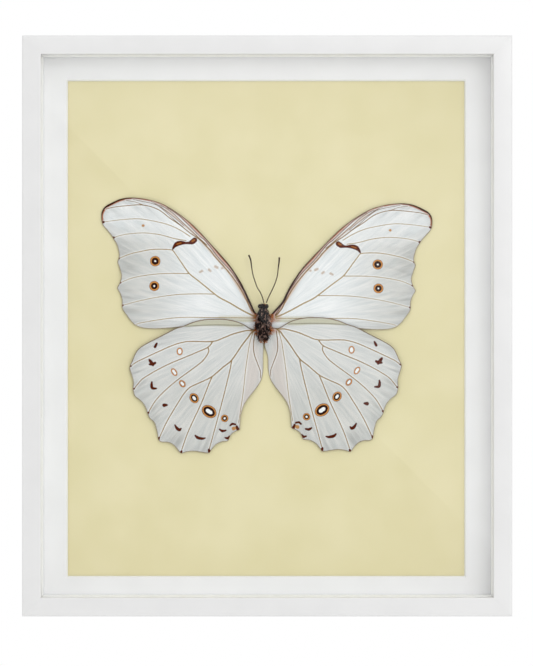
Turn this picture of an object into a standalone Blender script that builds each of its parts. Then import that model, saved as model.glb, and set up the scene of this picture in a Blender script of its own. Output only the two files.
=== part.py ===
"""Framed butterfly specimen, in metres with +Z up.

The frame hangs with its back to a wall at y = 0 and its glass towards -Y. The origin is the
hanging point: the middle notch of the sawtooth hanger, taken on the wall's plane.
"""

import math

import bmesh
import bpy
from mathutils import Matrix, Vector, geometry

MM = 0.001

# Driving dimensions of the frame
FRAME_WIDTH = 184.4 * MM
FRAME_HEIGHT = 218.6 * MM
FRAME_TOP = 6.6 * MM
RAIL_FACE = 7.1 * MM
RAIL_WALL = 4.8 * MM
RAIL_DEPTH = 20 * MM
LIP_DEPTH = 2.5 * MM
OUTER_ROUND = 0.7 * MM
INNER_ROUND = 0.4 * MM
GLASS_THICK = 2.0 * MM
SPACER_DEPTH = 7.2 * MM
MAT_THICK = 1.0 * MM
MAT_BEVEL = 0.5 * MM
WINDOW_WIDTH = 151.1 * MM
WINDOW_HEIGHT = 188.5 * MM
WINDOW_SHIFT = (-0.4 * MM, -1.0 * MM)
BOARD_THICK = 3.0 * MM
PANEL_THICK = 2.5 * MM
PAPER_THICK = 0.3 * MM
PAPER_INSET = 1.5 * MM
BUMPER_RADIUS = 4.5 * MM
BUMPER_THICK = 2.1 * MM
BUMPER_INSET = 8.0 * MM

# Room left between pieces that touch, and between the mitred ends of a strip
GAP = 0.3 * MM
MITRE_GAP = 0.1 * MM

# Sawtooth hanger and its nails
HANGER_LENGTH = 38 * MM
HANGER_TOP = 5.8 * MM
HANGER_STRIP = 0.6 * MM
HANGER_FOOT = 6.0 * MM
HANGER_RAMP = 2.0 * MM
HANGER_RISE = 0.8 * MM
TOOTH_PITCH = 2.4 * MM
TOOTH_DEPTH = 1.2 * MM
TOOTH_PAIRS = 4
NAIL_RADIUS = 0.5 * MM
NAIL_HEAD_RADIUS = 1.4 * MM
NAIL_HEAD_THICK = 0.5 * MM
NAIL_BITE = 6.0 * MM

# Where each layer starts and ends, counted back from the front of the frame
WALL_TO_RAIL = 3.0 * MM
FRONT_Y = -(WALL_TO_RAIL + RAIL_DEPTH)
GLASS_Y = FRONT_Y + LIP_DEPTH + GAP
SPACER_Y = GLASS_Y + GLASS_THICK + GAP
MAT_Y = SPACER_Y + SPACER_DEPTH + GAP
BOARD_Y = MAT_Y + MAT_THICK + GAP
PANEL_Y = BOARD_Y + BOARD_THICK + GAP
PAPER_Y = -WALL_TO_RAIL + GAP
HANGER_Y = PAPER_Y + PAPER_THICK + GAP
CENTRE_Z = FRAME_TOP - FRAME_HEIGHT / 2
BOTTOM_Z = FRAME_TOP - FRAME_HEIGHT

# The butterfly lies belly out, a little left of and above the middle of the frame
SPECIMEN_X = -1.2 * MM
SPECIMEN_Z = CENTRE_Z + 1.1 * MM
BODY_SHIFT = -0.3 * MM
BODY_Y = BOARD_Y - 3.5 * MM
WING_THICK = 0.35 * MM
FOREWING_LIFT = 0.9 * MM
WING_CREST = 0.45 * MM
HINDWING_STEP = 0.75 * MM
VEIN_HALF_WIDTH = 0.4
VEIN_HEIGHT = 0.22 * MM
VEIN_MARGIN = 0.9
PIN_RADIUS = 0.3 * MM
PIN_IN_BODY = 3.0 * MM

# Wing points in millimetres for the left wings: out from the body's line, and up from its middle
FOREWING_OUTLINE = [
    (1.0, 2.6), (3.2, 4.0), (5.3, 8.4), (7.2, 12.4), (9.1, 16.0), (13.0, 21.9), (18.5, 28.2), (25.6, 35.9),
    (29.9, 39.7), (33.9, 42.6), (37.7, 44.9), (41.5, 46.4), (46.0, 47.4), (51.0, 47.8), (54.9, 47.2),
    (58.7, 45.5), (60.8, 44.1), (61.8, 42.3), (62.0, 40.0), (61.5, 37.5), (59.8, 35.4), (58.1, 33.3),
    (57.4, 32.1), (56.0, 29.7), (55.2, 26.3), (55.4, 24.5), (55.8, 23.2), (55.0, 20.8), (54.3, 17.9),
    (55.0, 15.2), (55.9, 13.3), (54.9, 11.4), (54.1, 8.8), (54.0, 5.7), (52.4, 3.1), (49.9, -0.1),
    (47.2, -1.6), (43.4, -2.1), (37.7, -2.0), (30.1, -1.3), (22.0, -0.8), (13.0, -1.1), (7.6, -1.9),
    (3.6, -2.3), (1.0, -1.2),
]
FOREWING_VEINS = {
    "radius": [(5.2, 5.6), (6.7, 8.8), (9.5, 13.9), (13.4, 19.3), (18.7, 25.3), (20.6, 27.8), (24.4, 31.6),
               (28.2, 34.3), (32.0, 37.3), (35.8, 39.9), (39.6, 42.8), (43.4, 44.4), (47.2, 45.0),
               (51.0, 44.8), (56.8, 44.2), (60.2, 43.4)],
    "cubitus": [(5.3, 3.3), (9.1, 5.3), (13.0, 7.6), (16.8, 9.6), (19.0, 11.2), (24.4, 15.6), (28.2, 18.6),
                (30.1, 21.0), (32.0, 23.8), (33.9, 26.5), (35.2, 27.8), (39.6, 28.1), (43.4, 27.9),
                (47.2, 27.2), (51.0, 26.3), (55.4, 24.6)],
    "median_upper": [(28.2, 33.0), (32.0, 35.4), (35.8, 37.2), (39.6, 38.3), (45.3, 39.4), (49.1, 39.7),
                     (54.9, 39.3), (61.3, 38.5)],
    "median_middle": [(29.7, 31.4), (33.9, 32.1), (39.6, 33.6), (45.3, 34.3), (51.0, 34.0), (54.9, 33.3),
                      (57.5, 32.4)],
    "cubital_upper": [(28.4, 18.8), (35.8, 18.9), (41.5, 18.6), (47.2, 17.8), (51.0, 16.9), (55.0, 15.2)],
    "cubital_lower": [(19.1, 11.0), (24.4, 11.1), (32.0, 10.9), (39.6, 10.0), (47.2, 8.5), (54.0, 6.7)],
    "anal": [(5.3, 1.9), (21.7, 2.1), (32.0, 2.1), (39.6, 1.3), (47.2, 0.0), (48.8, -0.7)],
}
HINDWING_OUTLINE = [
    (1.2, -2.6), (4.6, -2.4), (7.4, -0.7), (10.4, 0.6), (14.1, 1.4), (17.2, 1.6), (22.5, 1.4), (27.0, 0.4),
    (30.7, -1.1), (33.8, -2.1), (39.8, -5.2), (44.3, -7.5), (47.3, -9.4), (48.8, -11.2), (50.3, -14.6),
    (51.2, -16.9), (50.5, -19.6), (49.8, -22.1), (49.9, -25.3), (49.2, -27.8), (47.1, -29.5), (45.7, -31.1),
    (44.8, -33.0), (44.3, -34.7), (43.4, -36.4), (41.8, -37.9), (41.0, -40.4), (40.5, -42.9), (40.3, -44.4),
    (39.2, -45.3), (37.0, -45.4), (35.1, -46.0), (33.5, -47.4), (31.7, -49.6), (29.7, -49.1), (27.0, -48.8),
    (24.4, -49.1), (21.0, -49.5), (20.0, -48.2), (18.3, -46.3), (16.0, -45.2), (13.8, -44.9), (13.1, -43.6),
    (12.4, -42.3), (10.5, -41.1), (9.3, -40.6), (9.1, -38.1), (8.8, -34.9), (7.8, -31.6), (6.3, -29.1),
    (4.4, -26.7), (2.5, -24.2), (1.1, -21.7), (0.4, -18.3), (0.3, -13.0), (0.2, -9.1), (0.35, -6.9),
    (1.1, -4.6),
]
RIGHT_INNER_MARGIN = [(0.2, -13.4), (-0.75, -10.2), (-1.0, -7.8), (0.3, -5.0)]
HINDWING_VEINS = {
    "sector": [(5.0, -2.9), (6.7, -2.9), (11.5, -4.1), (15.3, -5.6), (19.5, -7.0), (27.7, -7.0), (30.7, -7.3),
               (34.5, -8.4), (39.8, -10.7), (44.3, -12.8), (48.8, -15.0), (50.9, -16.7)],
    "median_upper": [(19.5, -7.0), (21.3, -9.2), (25.5, -11.1), (30.7, -13.3), (35.3, -15.2), (39.8, -17.4),
                     (43.5, -19.5), (46.6, -21.6), (49.6, -25.2)],
    "median_middle": [(21.3, -9.2), (21.1, -11.0), (22.9, -13.9), (25.5, -16.2), (32.3, -21.2), (36.0, -24.2),
                      (39.1, -27.1), (41.7, -30.1), (44.1, -34.2)],
    "cubitus": [(5.1, -4.0), (5.9, -5.2), (8.5, -8.6), (12.3, -14.1), (15.7, -16.9), (19.7, -20.3),
                (22.9, -22.0), (27.7, -24.2), (30.0, -26.3), (32.3, -29.7), (36.8, -37.2), (40.0, -44.0)],
    "cubital_upper": [(19.8, -20.6), (21.0, -23.3), (24.0, -30.8), (27.7, -38.7), (29.6, -43.2), (31.3, -48.2)],
    "cubital_lower": [(12.3, -14.2), (13.1, -18.4), (15.7, -29.0), (18.7, -40.2), (20.8, -47.8)],
    "anal": [(5.9, -10.1), (7.0, -17.6), (7.6, -23.3), (8.3, -29.0), (9.7, -38.0)],
}
ANTENNA_LEFT = [
    (0.1, 7.7), (0.6, 9.7), (1.5, 11.8), (2.5, 13.3), (3.2, 15.2), (4.0, 17.5), (4.5, 19.8), (4.8, 22.1),
    (5.1, 24.0), (5.8, 25.8),
]
ANTENNA_RIGHT = [
    (0.9, 7.7), (1.5, 9.3), (2.5, 11.4), (3.6, 13.7), (4.5, 16.0), (5.1, 18.3), (5.4, 21.0), (5.7, 23.2),
    (5.8, 24.9),
]
ANTENNA_RADIUS = 0.2 * MM
CLUB_SWELL = 1.7

# The right wings are the left ones mirrored, then shifted, turned and stretched as they were set, and
# the right hindwing's inner margin, which ends its outline, reaches further in
RIGHT_FOREWING = {"shift": (1.4, 0.0), "turn": math.radians(-0.6), "stretch": (1.005, 0.965)}
RIGHT_HINDWING = {"shift": (1.2, 0.6), "turn": 0.0, "stretch": (1.0, 1.0)}
AS_DRAWN = {"shift": (0.0, 0.0), "turn": 0.0, "stretch": (1.0, 1.0)}

# Body sections in millimetres: height, half width, half depth, and how far out of the middle
THORAX = [(4.8, 1.4, 1.6, -0.2), (3.6, 2.2, 2.5, -0.1), (1.5, 2.8, 3.0, 0.0), (-0.8, 3.2, 3.2, 0.0),
          (-3.2, 2.9, 2.9, -0.1), (-5.0, 1.9, 2.0, -0.3)]
HEAD = [(7.3, 0.9, 0.9, 0.0), (6.6, 1.5, 1.5, 0.0), (5.8, 1.6, 1.6, 0.0), (5.1, 1.3, 1.4, -0.1)]
ABDOMEN = [(-5.3, 1.7, 1.8, -0.3), (-6.2, 1.8, 1.9, -0.4), (-7.1, 1.2, 1.3, -0.5)]
EYE = {"out": 1.3, "up": 6.3, "radii": (0.75, 0.95, 0.9)}


def clear_scene():
    """Take away whatever the file opened with."""
    for item in list(bpy.data.objects):
        bpy.data.objects.remove(item, do_unlink=True)


def finish(name, colour, roughness, metallic=0.0, transmission=0.0):
    """A plain material: colour as linear red, green and blue."""
    material = bpy.data.materials.new(name)
    material.use_nodes = True
    shader = material.node_tree.nodes["Principled BSDF"]
    shader.inputs["Base Color"].default_value = (*colour, 1.0)
    shader.inputs["Roughness"].default_value = roughness
    shader.inputs["Metallic"].default_value = metallic
    shader.inputs["Transmission Weight"].default_value = transmission
    return material


def add_piece(name, mesh, material):
    """Put a mesh in the scene as a named piece, faces out and smooth where it is round."""
    shell = bmesh.new()
    shell.from_mesh(mesh)
    bmesh.ops.recalc_face_normals(shell, faces=shell.faces)
    shell.to_mesh(mesh)
    shell.free()
    mesh.shade_smooth()
    mesh.set_sharp_from_angle(angle=math.radians(35))
    piece = bpy.data.objects.new(name, mesh)
    bpy.context.scene.collection.objects.link(piece)
    mesh.materials.append(material)
    return piece


def mesh_of(name, points, faces):
    """A mesh from its corners and faces."""
    mesh = bpy.data.meshes.new(name)
    mesh.from_pydata([tuple(p) for p in points], [], faces)
    return mesh


def as_tool(piece):
    """Keep a piece only as a guide for cutting or joining."""
    piece.hide_render = True
    piece.display_type = "WIRE"
    return piece


def combine(target, tool, operation):
    """Cut a tool out of a piece, or join it on."""
    modifier = target.modifiers.new(tool.name, "BOOLEAN")
    modifier.operation = operation
    modifier.solver = "EXACT"
    modifier.object = as_tool(tool)


def slab(name, width, height, front, thickness, material):
    """A flat board behind the frame's opening, centred on the frame."""
    shell = bmesh.new()
    size = Vector((width, thickness, height))
    place = Matrix.Translation((0, front + thickness / 2, CENTRE_Z))
    bmesh.ops.create_cube(shell, size=1.0, matrix=place @ Matrix.Diagonal((*size, 1.0)))
    mesh = bpy.data.meshes.new(name)
    shell.to_mesh(mesh)
    shell.free()
    return add_piece(name, mesh, material)


def turned(name, profile, centre, material, segments=24):
    """A round piece about an axis along Y: the profile is (y, radius) from end to end."""
    points = []
    for y, radius in profile:
        for step in range(segments):
            angle = 2 * math.pi * step / segments
            points.append((centre[0] + radius * math.cos(angle), y, centre[1] + radius * math.sin(angle)))
    rings = len(profile)
    faces = [tuple(range(segments)), tuple(range((rings - 1) * segments, rings * segments))]
    for ring in range(rings - 1):
        for step in range(segments):
            a = ring * segments + step
            b = ring * segments + (step + 1) % segments
            faces.append((a, b, b + segments, a + segments))
    return add_piece(name, mesh_of(name, points, faces), material)


def round_corner(centre, radius, start, end, steps=3):
    """Points of a rounded corner, from one angle to another."""
    points = []
    for step in range(steps + 1):
        angle = math.radians(start + (end - start) * step / steps)
        points.append((centre[0] + radius * math.cos(angle), centre[1] + radius * math.sin(angle)))
    return points


def rail_profile():
    """Section of the moulding: a lip in front of a wall, as (inset, y) with its front edges rounded."""
    back = FRONT_Y + RAIL_DEPTH
    lip_back = FRONT_Y + LIP_DEPTH
    outer = round_corner((OUTER_ROUND, FRONT_Y + OUTER_ROUND), OUTER_ROUND, 180, 270)
    inner = round_corner((RAIL_FACE - INNER_ROUND, FRONT_Y + INNER_ROUND), INNER_ROUND, 270, 360)
    return outer + inner + [(RAIL_FACE, lip_back), (RAIL_WALL, lip_back), (RAIL_WALL, back), (0.0, back)]


def spacer_profile():
    """Section of the strip that holds the glass off the mat."""
    outer = RAIL_WALL + GAP
    back = SPACER_Y + SPACER_DEPTH
    return [(outer, SPACER_Y), (RAIL_FACE, SPACER_Y), (RAIL_FACE, back), (outer, back)]


def mitred_strip(name, side, profile, material):
    """One side of the frame: its section runs along the side and both ends are cut at 45 degrees."""
    back_off = MITRE_GAP * math.sqrt(0.5)
    ends = []
    for sign in (-1, 1):
        for inset, y in profile:
            if side in ("top", "bottom"):
                x = sign * (FRAME_WIDTH / 2 - inset - back_off)
                z = FRAME_HEIGHT / 2 - inset if side == "top" else inset - FRAME_HEIGHT / 2
            else:
                z = sign * (FRAME_HEIGHT / 2 - inset - back_off)
                x = FRAME_WIDTH / 2 - inset if side == "right" else inset - FRAME_WIDTH / 2
            ends.append((x, y, CENTRE_Z + z))
    count = len(profile)
    faces = [tuple(range(count)), tuple(range(count, 2 * count))]
    for corner in range(count):
        following = (corner + 1) % count
        faces.append((corner, following, following + count, corner + count))
    return add_piece(name, mesh_of(name, ends, faces), material)


def mat_board(material):
    """The mat: a card with a window whose cut edge slopes in towards the board."""
    inset = RAIL_WALL + GAP
    middle = Vector((WINDOW_SHIFT[0], CENTRE_Z + WINDOW_SHIFT[1]))
    outer = (FRAME_WIDTH / 2 - inset, FRAME_HEIGHT / 2 - inset, Vector((0.0, CENTRE_Z)))
    wide = (WINDOW_WIDTH / 2 + MAT_BEVEL, WINDOW_HEIGHT / 2 + MAT_BEVEL, middle)
    narrow = (WINDOW_WIDTH / 2, WINDOW_HEIGHT / 2, middle)
    front = MAT_Y
    back = MAT_Y + MAT_THICK
    points = []
    for (half_width, half_height, centre), y in ((outer, front), (wide, front), (narrow, back), (outer, back)):
        for sx, sz in ((-1, -1), (1, -1), (1, 1), (-1, 1)):
            points.append((centre.x + sx * half_width, y, centre.y + sz * half_height))
    faces = []
    for ring in range(4):
        for corner in range(4):
            a = ring * 4 + corner
            b = ring * 4 + (corner + 1) % 4
            following = (ring + 1) % 4 * 4
            faces.append((a, b, following + (corner + 1) % 4, following + corner))
    return add_piece("mat", mesh_of("mat", points, faces), material)


def hanger_strip():
    """Corners of the bent hanger strip seen from above: its ends lie flat and its middle stands off."""
    half = HANGER_LENGTH / 2
    bends = [(-half, 0.0), (-half + HANGER_FOOT, 0.0), (-half + HANGER_FOOT + HANGER_RAMP, HANGER_RISE)]
    near = bends + [(-x, rise) for x, rise in reversed(bends)]
    lower = [(x, HANGER_Y + rise) for x, rise in near]
    upper = [(x, HANGER_Y + rise + HANGER_STRIP) for x, rise in reversed(near)]
    return lower + upper


def prism(name, outline, low, high, axis, material):
    """A straight extrusion of an outline: along Z of (x, y) corners, or along Y of (x, z) corners."""
    points = []
    for level in (low, high):
        for a, b in outline:
            points.append((a, b, level) if axis == "Z" else (a, level, b))
    count = len(outline)
    faces = [tuple(range(count)), tuple(range(count, 2 * count))]
    for corner in range(count):
        following = (corner + 1) % count
        faces.append((corner, following, following + count, corner + count))
    return add_piece(name, mesh_of(name, points, faces), material)


def sawtooth_hanger(steel):
    """Pressed steel strip whose lower edge is a row of notches for a nail in the wall."""
    hanger = prism("sawtooth_hanger", hanger_strip(), -TOOTH_DEPTH, HANGER_TOP, "Z", steel)
    reach = TOOTH_PAIRS * TOOTH_PITCH
    teeth = []
    for step in range(-2 * TOOTH_PAIRS - 1, 2 * TOOTH_PAIRS + 2):
        z = 0.0 if step % 2 == 0 else -TOOTH_DEPTH - GAP
        teeth.append((step * TOOTH_PITCH / 2, z))
    floor = -2 * TOOTH_DEPTH
    comb = teeth + [(reach + TOOTH_PITCH, floor), (-reach - TOOTH_PITCH, floor)]
    combine(hanger, prism("notch_cutter", comb, HANGER_Y - GAP, 0.0, "Y", steel), "DIFFERENCE")
    return hanger


def nail_places():
    """Where the two hanger nails go in: the middle of the top rail's wall."""
    x = HANGER_LENGTH / 2 - HANGER_FOOT / 2
    z = FRAME_TOP - RAIL_WALL / 2
    return {"left": (-x, z), "right": (x, z)}


def hanger_nail(side, place, drilled, steel):
    """One nail, and the holes it needs in the strip, the paper and the rail."""
    head_top = HANGER_Y + HANGER_STRIP + GAP + NAIL_HEAD_THICK
    head = head_top - NAIL_HEAD_THICK
    point = -WALL_TO_RAIL - NAIL_BITE
    profile = [(point, NAIL_RADIUS * 0.2), (point + 1.5 * NAIL_RADIUS, NAIL_RADIUS), (head, NAIL_RADIUS),
               (head, NAIL_HEAD_RADIUS), (head_top - NAIL_HEAD_THICK / 3, NAIL_HEAD_RADIUS),
               (head_top, NAIL_HEAD_RADIUS * 0.7)]
    turned("hanger_nail_" + side, profile, place, steel, segments=16)
    bore = NAIL_RADIUS + GAP
    hole = turned("nail_hole_" + side, [(point - GAP, bore), (head, bore)], place, steel, segments=16)
    for piece in drilled:
        combine(piece, hole, "DIFFERENCE")


def wall_bumper(side, sign, rubber):
    """A round stick-on pad that keeps the frame's lower edge off the wall."""
    place = (sign * (FRAME_WIDTH / 2 - BUMPER_INSET), BOTTOM_Z + BUMPER_INSET)
    soft = 0.4 * MM
    back = -BUMPER_THICK
    profile = [(back, BUMPER_RADIUS), (-soft, BUMPER_RADIUS), (0.0, BUMPER_RADIUS - soft)]
    turned("bumper_" + side, profile, place, rubber, segments=32)


def smooth_curve(points, steps, closed=False):
    """A curve that passes smoothly through the points, with that many steps to each stretch."""
    count = len(points)
    line = []
    for index in range(count if closed else count - 1):
        if closed:
            around = [points[(index + k) % count] for k in (-1, 0, 1, 2)]
        else:
            around = [points[min(max(index + k, 0), count - 1)] for k in (-1, 0, 1, 2)]
        before, start, end, after = (Vector(p) for p in around)
        for step in range(steps):
            t = step / steps
            line.append(0.5 * (2 * start + (end - before) * t
                               + (2 * before - 5 * start + 4 * end - after) * t ** 2
                               + (3 * start - before - 3 * end + after) * t ** 3))
    if not closed:
        line.append(Vector(points[-1]))
    return line


def distance_to_line(point, line, closed=False):
    """Shortest distance from a point to a run of straight stretches."""
    nearest = math.inf
    for start, end in zip(line, line[1:] + line[:1] if closed else line[1:]):
        stretch = end - start
        share = (point - start).dot(stretch) / max(stretch.length_squared, 1e-12)
        nearest = min(nearest, (point - start - stretch * min(max(share, 0.0), 1.0)).length)
    return nearest


def inside(point, loop):
    """Whether a point is inside a closed outline."""
    within = False
    for a, b in zip(loop, loop[1:] + loop[:1]):
        if (a.y > point.y) != (b.y > point.y):
            if point.x < a.x + (point.y - a.y) * (b.x - a.x) / (b.y - a.y):
                within = not within
    return within


def forewing_lift(u, v):
    """How far the middle of the forewing stands off the board: it crests half way out."""
    return FOREWING_LIFT + WING_CREST * math.sin(math.pi * u / 66) - 0.3 * MM * (u / 60) ** 2


def hindwing_lift(u, v):
    """The hindwing lies on the forewing, and comes down towards the board at its rear edge."""
    down = min(max((-v - 6) / 42, 0.0), 1.0) ** 1.5
    return forewing_lift(u, v) + HINDWING_STEP - 0.9 * MM * down


def rib_lines(veins, rim):
    """Points and edges of the raised veins: a middle line with a foot line on each side."""
    points = []
    edges = []
    for vein in veins.values():
        line = smooth_curve(vein, 1)
        before = None
        for index, place in enumerate(line):
            if distance_to_line(place, rim, closed=True) < VEIN_MARGIN or not inside(place, rim):
                before = None
                continue
            along = line[min(index + 1, len(line) - 1)] - line[max(index - 1, 0)]
            across = Vector((-along.y, along.x)).normalized() * VEIN_HALF_WIDTH
            here = len(points)
            points += [place - across, place, place + across]
            if before is not None:
                edges += [(before + k, here + k) for k in range(3)]
            before = here
    return points, edges


def filler_points(rim, lines, spacing, clear):
    """An even scatter inside the outline that keeps clear of it and of the lines."""
    points = []
    us = [p.x for p in rim]
    vs = [p.y for p in rim]
    v = min(vs) + spacing / 2
    row = 0
    while v < max(vs):
        u = min(us) + spacing * (0.5 if row % 2 else 1.0)
        while u < max(us):
            point = Vector((u, v))
            if inside(point, rim) and distance_to_line(point, rim, closed=True) > clear:
                if all(distance_to_line(point, line) > clear for line in lines):
                    points.append(point)
            u += spacing
        v += spacing
        row += 1
    return points


def wing_sheet(shell, rim, extra, edges, height, place):
    """Fill the outline with triangles at the given height, and return its rim in order."""
    count = len(rim)
    loop = [(i, (i + 1) % count) for i in range(count)]
    shifted = [(a + count, b + count) for a, b in edges]
    flat, _, faces, sources, _, _ = geometry.delaunay_2d_cdt(rim + extra, loop + shifted, [list(range(count))],
                                                             1, 0.02)
    corners = []
    edge_corners = {}
    for point, source in zip(flat, sources):
        x, z = place(point.x, point.y)
        corner = shell.verts.new((x, BOARD_Y - height(point), z))
        corners.append(corner)
        for index in source:
            if index < count:
                edge_corners[index] = corner
    for face in faces:
        shell.faces.new([corners[index] for index in face])
    return [edge_corners[index] for index in range(count)]


def wing_place(sign, fit):
    """How a wing's own points go to the frame's width and height."""
    cos = math.cos(fit["turn"])
    sin = math.sin(fit["turn"])

    def place(u, v):
        u *= fit["stretch"][0]
        v *= fit["stretch"][1]
        turned_u = u * cos - v * sin + fit["shift"][0]
        turned_v = u * sin + v * cos + fit["shift"][1]
        return SPECIMEN_X + sign * turned_u * MM, SPECIMEN_Z + turned_v * MM

    return place


def wing(name, outline, veins, lift, sign, fit, material):
    """A thin wing: a cambered sheet with raised veins on its front and a plain back."""
    rim = smooth_curve(outline, 2, closed=True)
    lines = [smooth_curve(vein, 1) for vein in veins.values()]
    ribs, edges = rib_lines(veins, rim)
    place = wing_place(sign, fit)

    def front(point):
        nearest = min(distance_to_line(point, line) for line in lines)
        ridge = max(0.0, 1 - nearest / VEIN_HALF_WIDTH)
        if distance_to_line(point, rim, closed=True) < VEIN_MARGIN / 2:
            ridge = 0.0
        return lift(point.x, point.y) + WING_THICK / 2 + VEIN_HEIGHT * ridge

    def back(point):
        return lift(point.x, point.y) - WING_THICK / 2

    shell = bmesh.new()
    front_rim = wing_sheet(shell, rim, ribs + filler_points(rim, lines, 7.0, 1.6), edges, front, place)
    back_rim = wing_sheet(shell, rim, filler_points(rim, [], 8.0, 2.5), [], back, place)
    for index in range(len(rim)):
        following = (index + 1) % len(rim)
        shell.faces.new((front_rim[index], front_rim[following], back_rim[following], back_rim[index]))
    mesh = bpy.data.meshes.new(name)
    shell.to_mesh(mesh)
    shell.free()
    return add_piece(name, mesh, material)


def body_section(name, stations, material, grow=0.0, segments=20):
    """One section of the body: oval rings from front to rear with flat ends, grown when it cuts clearance."""
    rings = smooth_curve([Vector((s[0], s[1], s[2], s[3])) for s in stations], 2)
    points = []
    for index, (up, half_width, half_depth, out) in enumerate(rings):
        if index == 0:
            up += grow / MM
        if index == len(rings) - 1:
            up -= grow / MM
        for step in range(segments):
            angle = 2 * math.pi * step / segments
            x = SPECIMEN_X + BODY_SHIFT + (half_width * MM + grow) * math.cos(angle)
            y = BODY_Y - out * MM + (half_depth * MM + grow) * math.sin(angle)
            points.append((x, y, SPECIMEN_Z + up * MM))
    count = len(rings)
    faces = [tuple(range(segments)), tuple(range((count - 1) * segments, count * segments))]
    for ring in range(count - 1):
        for step in range(segments):
            a = ring * segments + step
            b = ring * segments + (step + 1) % segments
            faces.append((a, b, b + segments, a + segments))
    return add_piece(name, mesh_of(name, points, faces), material)


def eye(name, sign, material):
    """One round eye on the side of the head."""
    shell = bmesh.new()
    x = SPECIMEN_X + BODY_SHIFT + sign * EYE["out"] * MM
    place = Matrix.Translation((x, BODY_Y, SPECIMEN_Z + EYE["up"] * MM))
    stretch = Matrix.Diagonal((*(radius * MM for radius in EYE["radii"]), 1.0))
    bmesh.ops.create_uvsphere(shell, u_segments=14, v_segments=8, radius=1.0, matrix=place @ stretch)
    mesh = bpy.data.meshes.new(name)
    shell.to_mesh(mesh)
    shell.free()
    return add_piece(name, mesh, material)


def antenna(name, points, sign, material):
    """A fine feeler that swells a little towards its tip."""
    curve = bpy.data.curves.new(name, "CURVE")
    curve.dimensions = "3D"
    curve.bevel_depth = ANTENNA_RADIUS
    curve.bevel_resolution = 2
    curve.use_fill_caps = True
    line = smooth_curve(points, 2)
    spline = curve.splines.new("POLY")
    spline.points.add(len(line) - 1)
    for index, point in enumerate(line):
        along = index / (len(line) - 1)
        forward = 0.6 * MM * math.sin(math.pi * along)
        spline.points[index].co = (SPECIMEN_X + sign * point.x * MM, BODY_Y - forward,
                                   SPECIMEN_Z + point.y * MM, 1.0)
        spline.points[index].radius = 1 + (CLUB_SWELL - 1) * max(0.0, (along - 0.7) / 0.3)
    feeler = bpy.data.objects.new(name, curve)
    bpy.context.scene.collection.objects.link(feeler)
    curve.materials.append(material)


def build_frame():
    """The case: moulding, glass, spacers, mat, boards, backing paper and fittings."""
    lacquer = finish("white_lacquered_wood", (0.80, 0.80, 0.80), 0.35)
    card = finish("white_mat_card", (0.80, 0.80, 0.82), 0.9)
    steel = finish("zinc_plated_steel", (0.55, 0.55, 0.56), 0.35, metallic=1.0)
    inner_width = FRAME_WIDTH - 2 * (RAIL_WALL + GAP)
    inner_height = FRAME_HEIGHT - 2 * (RAIL_WALL + GAP)
    rails = {}
    for side in ("top", "bottom", "left", "right"):
        rails[side] = mitred_strip("rail_" + side, side, rail_profile(), lacquer)
        mitred_strip("spacer_" + side, side, spacer_profile(), card)
    slab("glass", inner_width, inner_height, GLASS_Y, GLASS_THICK,
         finish("float_glass", (0.95, 0.97, 0.96), 0.02, transmission=1.0))
    mat_board(card)
    board = slab("mount_board", inner_width, inner_height, BOARD_Y, BOARD_THICK,
                 finish("cream_faced_foam_board", (0.76, 0.72, 0.47), 0.9))
    slab("back_panel", inner_width, inner_height, PANEL_Y, PANEL_THICK,
         finish("brown_hardboard", (0.20, 0.12, 0.06), 0.8))
    paper = slab("dust_cover", FRAME_WIDTH - 2 * PAPER_INSET, FRAME_HEIGHT - 2 * PAPER_INSET, PAPER_Y,
                 PAPER_THICK, finish("brown_kraft_paper", (0.42, 0.27, 0.14), 0.85))
    hanger = sawtooth_hanger(steel)
    for side, place in nail_places().items():
        hanger_nail(side, place, (hanger, paper, rails["top"]), steel)
    rubber = finish("clear_grey_rubber", (0.35, 0.35, 0.35), 0.6)
    for side, sign in (("left", -1), ("right", 1)):
        wall_bumper(side, sign, rubber)
    return board


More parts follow.
